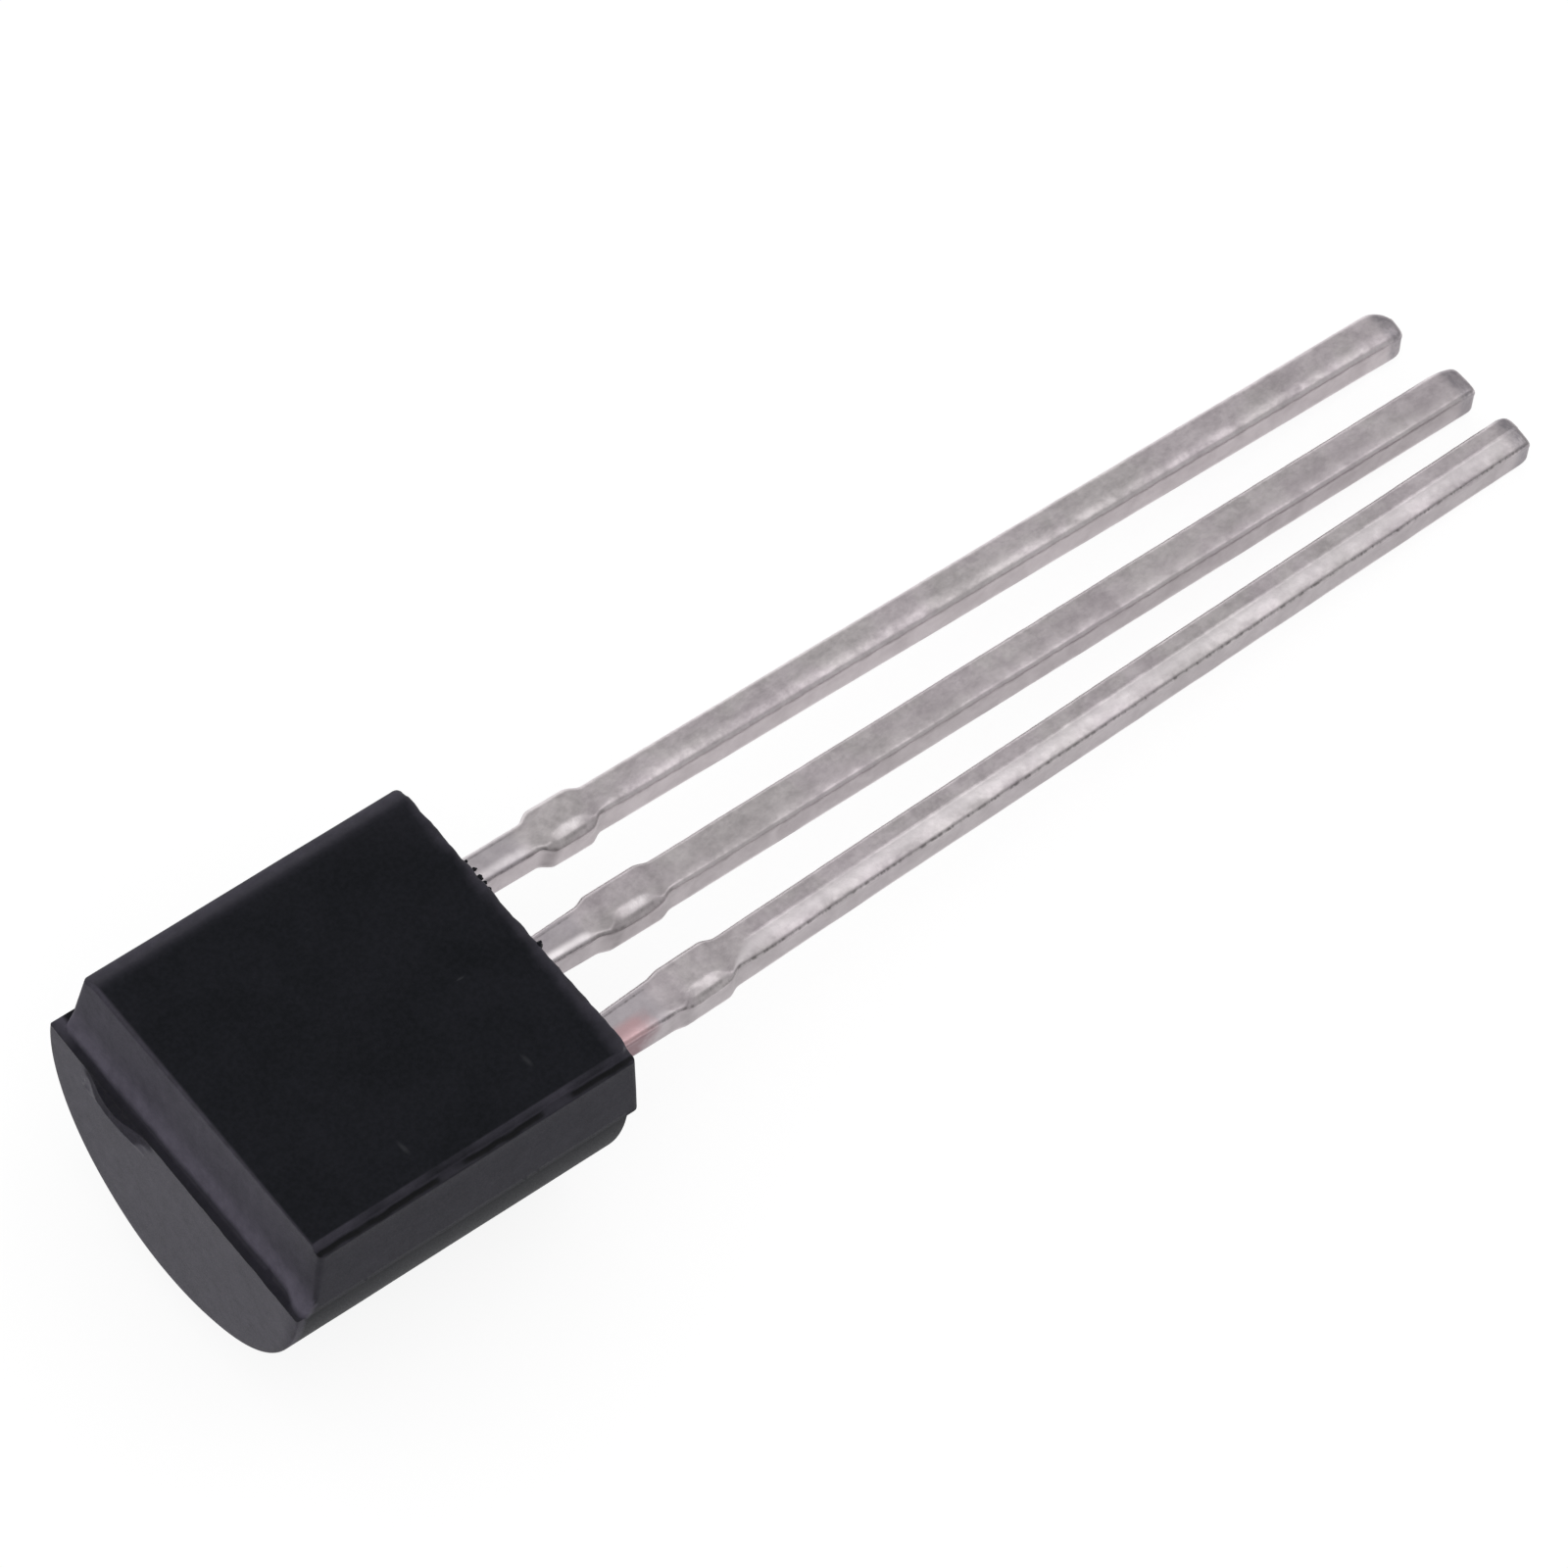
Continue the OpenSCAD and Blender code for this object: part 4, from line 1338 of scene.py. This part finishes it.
class ResinMarks:
    """How matte, rubbed or torn the resin is at each point of the block, and how much painted sheen and painted shade
    it gets.
    """

    # Strengths of the painted sheen, standing in for reflected light, in each region.
    LENS_BLOOM = 0.43
    LEDGE_BLOOM = 0.2
    STEP_BLOOM = 0.25
    FAR_BLOOM = 0.5
    NEAR_LEDGE_BLOOM = 0.2
    SIDE_BLOOM = 0.155
    LEAD_END_BLOOM = 0.34
    CORNER_BLOOM = 0.06
    TORN_LOSS = 0.3
    # Strength of the painted shade on the near ledge.
    GROOVE_STRENGTH = 0.8
    WEAR_REACH = (0.015, 0.06)
    FAR_OFF = 9.0

    def __init__(self, block: MouldedBlock, places: np.ndarray) -> None:
        """Takes the block's sizes and its points."""
        self.block, self.places = block, places
        self.x, self.y, self.z = places.T
        self.low, self.high = block.front_ends()
        self.panel, self.foot, self.outer = block.panel_edges()
        ledge = block.ledge_height
        self.front_top = ease(self.z, ledge - 0.03, ledge - 0.01)

    def all(self) -> dict[Mark, np.ndarray]:
        """Every mark, by its attribute."""
        torn, groove = self._torn(), self._groove()
        marks = {Mark.EDGE_WEAR: self._edge_wear(), Mark.BROKEN: torn, Mark.MATTE: self._matte()}
        return marks | {Mark.BLOOM: self._bloom(torn, groove), Mark.GROOVE: groove}

    def _matte(self) -> np.ndarray:
        """1 on the near side and the front half's top end, less on the back half's."""
        x, y, z, top = self.x, self.y, self.z, -self.block.face_length
        near = ease(-y, 1.9, 2.15) * ease(-z, -1.3, -0.8)
        band = fade(x, top - 0.02, top + 0.05) * (z > 0.02)
        return np.maximum.reduce([near, band, (x < top - 0.19) * (z < -0.01) * 0.55])

    def _bloom(self, torn: np.ndarray, groove: np.ndarray) -> np.ndarray:
        """Painted sheen, standing in for reflected light: most on the top end and the ledges, least on the near side.
        """
        x, y, z, low, high = self.x, self.y, self.z, self.low, self.front_top
        panel, foot, outer = self.panel, self.foot, self.outer
        wall = low + np.clip(z, 0.0, None) * self.block.slope
        band = fade(x, wall + 0.01, wall + 0.05) * (0.44 + 0.5 * fade(z, 0.05, 0.5)) * (z > 0.02)
        lens = fade(x, low - 0.1, low - 0.05) * (z < -0.01)
        ledge = fade(x, low - 0.02, low + 0.01) * (np.abs(z) < 0.03)
        ledge *= (1.0 + 0.5 * ease(x, low - 0.13, low)) * (1.0 + 1.2 * ease(y, 1.95, 2.15))
        step = ease(-y, panel - 0.03, panel) * fade(-y, foot - 0.01, foot + 0.01) * high
        step *= 0.9 + 0.9 * ripple(self.places, 1.5, 61.0, 3)
        far_strip = ease(y, outer - 0.34, outer + 0.04) * ease(z, 0.9, 1.0)
        near_ledge = ease(-y, foot - 0.02, foot) * high * (1.0 - groove)
        seam_line = np.exp(-(((z + 0.04) / 0.05) ** 2))
        side = 0.1 * ease(z, -1.2, -0.5) + 0.9 * ease(z, -0.02, 0.04) - 0.3 * seam_line
        side *= ease(-y, 2.0, 2.12) * (z < self.block.ledge_height - 0.02)
        lead_edge = ease(x + ripple(self.places, 2.6, 41.0, 3) * 0.08, -0.18, 0.04) * high
        far_corner = ease(x + 2.0 * y, 1.4, 4.4) * high
        regions = (
            (band, 1.0), (lens, self.LENS_BLOOM), (ledge, self.LEDGE_BLOOM), (step, self.STEP_BLOOM),
            (far_strip, self.FAR_BLOOM), (near_ledge, self.NEAR_LEDGE_BLOOM), (side, self.SIDE_BLOOM),
            (lead_edge, self.LEAD_END_BLOOM), (far_corner, self.CORNER_BLOOM),
        )
        return np.maximum.reduce([mask * amount for mask, amount in regions]) * (1.0 - self.TORN_LOSS * torn)

    def _groove(self) -> np.ndarray:
        """How deep the shade is on the near ledge: 0 where flash fills it."""
        along = (1.0, 0.0, 0.0)
        ledge = self.block.ledge_height
        clean = ease(ripple(self.places, 1.1, 71.0, 3, along), -0.22, 0.0)
        aside = ripple(self.places, 2.7, 81.0, 3, along) * 0.02 - self.y
        sharp = ease(aside, self.foot + 0.01, self.foot + 0.03) * fade(aside, self.outer - 0.045, self.outer - 0.01)
        return clean * sharp * ease(self.z, ledge - 0.05, ledge - 0.02) * self.GROOVE_STRENGTH

    def _torn(self) -> np.ndarray:
        """1 where the runner was broken off the top end, and 0 elsewhere."""
        block = self.block
        aside = np.abs(self.y - block.gate_middle)
        depth = block.gate_depth * (1.05 - 0.75 * ease(aside, 0.0, block.gate_width * 0.55))
        depth += ripple(self.places, 3.0, 51.0, 3) * 0.04
        low = block.back_ends()[0]
        torn = fade(aside, block.gate_width * 0.46, block.gate_width * 0.56) * fade(-self.z - depth, -0.04, 0.04)
        return torn * fade(self.x, low + 0.02, low + 0.06) * (self.z < 0.02)

    def _edge_wear(self) -> np.ndarray:
        """1 on the block's outer edges, falling to 0 a little way from them."""
        block, x, y, z = self.block, self.x, self.y, self.z
        taper = np.clip(z, 0.0, None) * block.slope
        to_top = np.abs(z - block.front_height + block.panel_step * (np.abs(y) > self.panel))
        to_ends = np.minimum(np.abs(x - (self.low + taper)), np.abs(x - (self.high - taper)))
        to_sides = np.abs(np.abs(y) - (block.front_width / 2 - taper))
        radial = np.abs(np.hypot(y - block.back_shift, z) - block.back_radius)
        to_back_ends = np.minimum(*(np.abs(x - end) for end in block.back_ends()))
        front = z > 0.02
        edges = (
            (front, to_top, to_ends), (front, to_top, to_sides), (front, to_ends, to_sides),
            (~front, radial, to_back_ends), (np.abs(z) < 0.05, to_back_ends, z),
        )
        nearest = np.min([np.where(here, np.hypot(a, b), self.FAR_OFF) for here, a, b in edges], axis=0)
        return fade(nearest, *self.WEAR_REACH)


# --- Crumbs of resin ----------------------------------------------------------------------


@dataclass
class ResinCrumbs:
    """Crumbs of flash that stuck to the leads where they leave the block, as place and size."""

    spots: tuple[tuple[float, float, float, float], ...] = (
        (0.045, -0.385, 1.07, 0.055), (0.030, 0.68, 1.08, 0.040), (0.040, 0.60, 1.07, 0.028),
        (0.045, 0.81, 1.06, 0.036), (0.030, 0.51, 1.07, 0.030), (0.035, 0.94, 1.07, 0.022),
        (0.10, 1.37, 0.230, 0.030), (0.10, 0.05, 0.230, 0.034), (0.10, -1.50, 0.230, 0.028),
    )
    seed: int = 11
    most_turn: float = 6.28
    squash: Pair = (0.8, 0.7)

    def tree(self) -> Tree:
        """Geometry Nodes tree that sets one uneven lump on each point of its carrier mesh."""
        inputs = {"Geometry": "Geometry", "Lump Radius": 1.0, "Unevenness": 0.35, "Seed": 0, "Material": "Material"}
        graph, given = new_group("resin_crumbs", "GeometryNodeTree", inputs, {"Geometry": "Geometry"})
        lump = graph.add("GeometryNodeMeshIcoSphere", {"Radius": given["Lump Radius"], "Subdivisions": 3})
        size = graph.add("GeometryNodeInputNamedAttribute", {"Name": Mark.LUMP_SIZE.value}, data_type="FLOAT")
        limits = {"Min": (0.0, 0.0, 0.0), "Max": (self.most_turn,) * 3, "Seed": given["Seed"]}
        turn = graph.add("FunctionNodeRandomValue", limits, data_type="FLOAT_VECTOR")
        scale = graph.field(size)
        feeds = {"Points": given["Geometry"], "Instance": lump.outputs[0], "Rotation": turn.outputs[0]}
        feeds["Scale"] = graph.vector(scale, scale * self.squash[0], scale * self.squash[1])
        placed = graph.add("GeometryNodeInstanceOnPoints", feeds).outputs[0]
        real = graph.add("GeometryNodeRealizeInstances", {"Geometry": placed}).outputs[0]
        place = graph.add("GeometryNodeInputPosition").outputs[0]
        normal = graph.add("GeometryNodeInputNormal").outputs[0]
        lumpy = (graph.cloud(place, 34.0, 2.0, 0.6) - 0.5) * given["Unevenness"] * 0.12
        push = graph.add("ShaderNodeVectorMath", {0: normal, "Scale": lumpy}, operation="SCALE").outputs[0]
        uneven = graph.add("GeometryNodeSetPosition", {"Geometry": real, "Offset": push}).outputs[0]
        end_tree(graph, uneven, given["Material"])
        return graph.tree

    def build(self, material: Material) -> Piece:
        """Makes the crumbs in the device's frame."""
        mesh = bpy.data.meshes.new("resin_crumbs")
        mesh.from_pydata([spot[:3] for spot in self.spots], [], [])
        layer = mesh.attributes.new(Mark.LUMP_SIZE.value, "FLOAT", "POINT")
        layer.data.foreach_set("value", [spot[3] for spot in self.spots])
        return run_tree("resin_crumbs", self.tree(), {"Seed": self.seed, "Material": material}, mesh)


# --- Chip, solder and wires ---------------------------------------------------------------


@dataclass
class ChipStack:
    """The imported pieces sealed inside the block, which keep their shapes."""

    attach: GrainedFinish = GrainedFinish(
        "die_attach_metal", 0.9, dark=(0.42, 0.42, 0.43), light=(0.62, 0.62, 0.63), low_roughness=0.35
    )
    silicon: GrainedFinish = GrainedFinish(
        "silicon", 0.2, dark=(0.06, 0.075, 0.10), light=(0.11, 0.13, 0.17), low_roughness=0.12, high_roughness=0.2
    )
    gold: GrainedFinish = GrainedFinish(
        "gold_wire", 1.0, dark=(0.66, 0.43, 0.14), light=(0.86, 0.62, 0.26), low_roughness=0.2, high_roughness=0.3
    )

    def finishes(self) -> dict[str, GrainedFinish]:
        """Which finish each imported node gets."""
        wires = dict.fromkeys(("emitter_bond_wire", "base_bond_wire"), self.gold)
        return {"die_attach": self.attach, "silicon_die": self.silicon} | wires

    def dress(self, effects: Effects) -> None:
        """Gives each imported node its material."""
        finishes = self.finishes()
        made = {finish.name: finish.material(effects) for finish in dict.fromkeys(finishes.values())}
        for node, finish in finishes.items():
            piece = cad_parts[node]
            if not piece.material_slots:
                piece.data.materials.append(made[finish.name])
            for slot in piece.material_slots:
                slot.material = made[finish.name]

    def cutters(self, pose: RestPose) -> list[Piece]:
        """Copies of the sealed pieces, in the device's frame, to shape their pockets."""
        return [link(f"{node}_tool", pose.back(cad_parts[node])) for node in self.finishes()]


# --- Studio -------------------------------------------------------------------------------


def away_at(azimuth: float, elevation: float) -> Vector:
    """Direction from the object to an azimuth and elevation in degrees: 0 is at -Y, and 90 is at +X."""
    turn, rise = math.radians(azimuth), math.radians(elevation)
    return Vector((math.sin(turn) * math.cos(rise), -math.cos(turn) * math.cos(rise), math.sin(rise)))


@dataclass(frozen=True)
class SoftBox:
    """One square soft lamp, aimed at the object, with its distance and side in metres."""

    name: str
    azimuth: float
    elevation: float
    distance: float
    side: float
    radiance: float

    def place(self, target: Vector) -> None:
        """Puts the lamp in the scene."""
        away = away_at(self.azimuth, self.elevation)
        lamp = bpy.data.lights.new(self.name, "AREA")
        lamp.shape, lamp.size = "SQUARE", self.side
        lamp.energy = self.radiance * math.pi * self.side**2
        piece = link(self.name, lamp)
        piece.location = target + away * self.distance
        piece.rotation_mode = "QUATERNION"
        piece.rotation_quaternion = away.to_track_quat("Z", "Y")


@dataclass
class Studio:
    """Plain white floor and backdrop, a soft sky, one soft lamp and the camera."""

    floor_side: float = 4.0
    backdrop_distance: float = 0.7
    backdrop_height: float = 0.4
    floor_albedo: float = 0.8
    seen_albedo: float = 0.25
    seen_glow: float = 0.86
    sky_low: float = 0.52
    sky_rise: float = 0.3
    sky_power: float = 4.0
    target: tuple[float, float, float] = (-0.5455, 0.1684, 1.5)
    azimuth: float = -37.8349
    elevation: float = 63.2621
    roll: float = 0.3408
    camera_distance: float = 105.3357
    lens: float = 211.4996
    sensor: float = 36.0
    clip: Pair = (0.01, 10.0)
    boxes: tuple[SoftBox, ...] = (SoftBox("softbox", 79.0, 58.0, 0.6, 0.3, 0.62),)

    def build(self) -> None:
        """Makes the floor, the light and the camera, and the plain view settings."""
        self._floor()
        self._sky()
        for box in self.boxes:
            box.place(Vector(self.target) * MM)
        self._camera()
        bpy.context.scene.view_settings.view_transform = "Standard"

    @staticmethod
    def _bare(data: Material | bpy.types.World) -> Graph:
        """The emptied node tree of a new material or world."""
        data.use_nodes = True
        data.node_tree.nodes.clear()
        return Graph(data.node_tree)

    @staticmethod
    def _seen(graph: Graph, *rays: str) -> Field:
        """1 for the given kinds of ray, and 0 for every other."""
        path = graph.add("ShaderNodeLightPath")
        seen = graph.field(path, "Is Camera Ray")
        for ray in rays:
            seen = seen.at_least(graph.field(path, ray))
        return seen

    def _floor(self) -> None:
        """Floor and backdrop: white where they are seen, and the floor keeps the object's shadow."""
        half, back, high = self.floor_side / 2, self.backdrop_distance, self.backdrop_height
        corners = [(-half, -half, 0.0), (half, -half, 0.0), (half, back, 0.0), (-half, back, 0.0)]
        corners += [(half, back, high), (-half, back, high)]
        floor = mesh_object("floor", np.array(corners), [(0, 1, 2, 3), (3, 2, 4, 5)])
        material = bpy.data.materials.new("white_floor")
        graph = self._bare(material)
        lit = graph.add("ShaderNodeBsdfDiffuse", {"Color": (self.floor_albedo,) * 3})
        shade = graph.add("ShaderNodeBsdfDiffuse", {"Color": (self.seen_albedo,) * 3})
        glow = graph.add("ShaderNodeEmission", {"Color": (1.0, 1.0, 1.0), "Strength": self.seen_glow})
        white = graph.add("ShaderNodeAddShader", {0: shade.outputs[0], 1: glow.outputs[0]})
        seen = self._seen(graph, "Is Glossy Ray", "Is Transmission Ray")
        mixed = graph.add("ShaderNodeMixShader", {0: seen, 1: lit.outputs[0], 2: white.outputs[0]})
        graph.add("ShaderNodeOutputMaterial", {"Surface": mixed.outputs[0]})
        dress(floor, material)

    def _sky(self) -> None:
        """A soft sky, dim at the horizon and bright overhead, which is plain white where it is seen."""
        world = bpy.data.worlds.new("studio")
        graph = self._bare(world)
        height = graph.split(graph.add("ShaderNodeTexCoord").outputs["Generated"])[2].at_least(0.0)
        strengths = (height**self.sky_power * self.sky_rise + self.sky_low, 1.0)
        soft, white = (
            graph.add("ShaderNodeBackground", {"Color": (1.0, 1.0, 1.0), "Strength": strength}).outputs[0]
            for strength in strengths
        )
        mixed = graph.add("ShaderNodeMixShader", {0: self._seen(graph, "Is Transmission Ray"), 1: soft, 2: white})
        graph.add("ShaderNodeOutputWorld", {"Surface": mixed.outputs[0]})
        bpy.context.scene.world = world

    def _camera(self) -> None:
        """The camera, turned a little about its own line of sight."""
        away = away_at(self.azimuth, self.elevation)
        data = bpy.data.cameras.new("camera")
        data.lens, data.sensor_width = self.lens, self.sensor
        data.clip_start, data.clip_end = self.clip
        camera = link("camera", data)
        camera.location = (Vector(self.target) + away * self.camera_distance) * MM
        camera.rotation_mode = "QUATERNION"
        roll = Matrix.Rotation(math.radians(-self.roll), 4, "Z").to_quaternion()
        camera.rotation_quaternion = away.to_track_quat("Z", "Y") @ roll
        bpy.context.scene.camera = camera


# --- Everything together ------------------------------------------------------------------


class Slot(Enum):
    """The record's material slots that the new pieces stand for; each piece's slot is named in the log."""

    EPOXY = "epoxy"
    TINNED_LEAD = "tinned_lead"


def hand_over(piece: Piece, slot: Slot, pose: RestPose, *nodes: str) -> None:
    """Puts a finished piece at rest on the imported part.

    Args:
        piece: The piece, in the device's frame.
        slot: The record's material slot.
        pose: How the device lies.
        *nodes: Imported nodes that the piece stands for.
    """
    pose.settle(piece)
    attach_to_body(piece, "root")
    if nodes:
        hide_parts(*nodes)
    LOG.info("%s: %d faces, %s", piece.name, len(piece.data.polygons), slot.value)


def main() -> None:
    """Builds the block, the leads and the studio, and reports each piece."""
    logging.basicConfig(level=logging.INFO, format="%(name)s: %(message)s")
    pose, effects, chip, block = RestPose(), Effects(), ChipStack(), MouldedBlock()
    leads = LeadFrame().build(effects)
    cutters = [link(f"{piece.name}_tool", piece.data.copy()) for piece in leads.values()] + chip.cutters(pose)
    body = block.build(cutters)
    resin = block.finish.material(effects)
    dress(body, resin)
    hand_over(body, Slot.EPOXY, pose, block.node)
    for node, piece in leads.items():
        hand_over(piece, Slot.TINNED_LEAD, pose, node)
    hand_over(ResinCrumbs().build(resin), Slot.EPOXY, pose)
    chip.dress(effects)
    Studio().build()


if __name__ == "__main__":
    main()
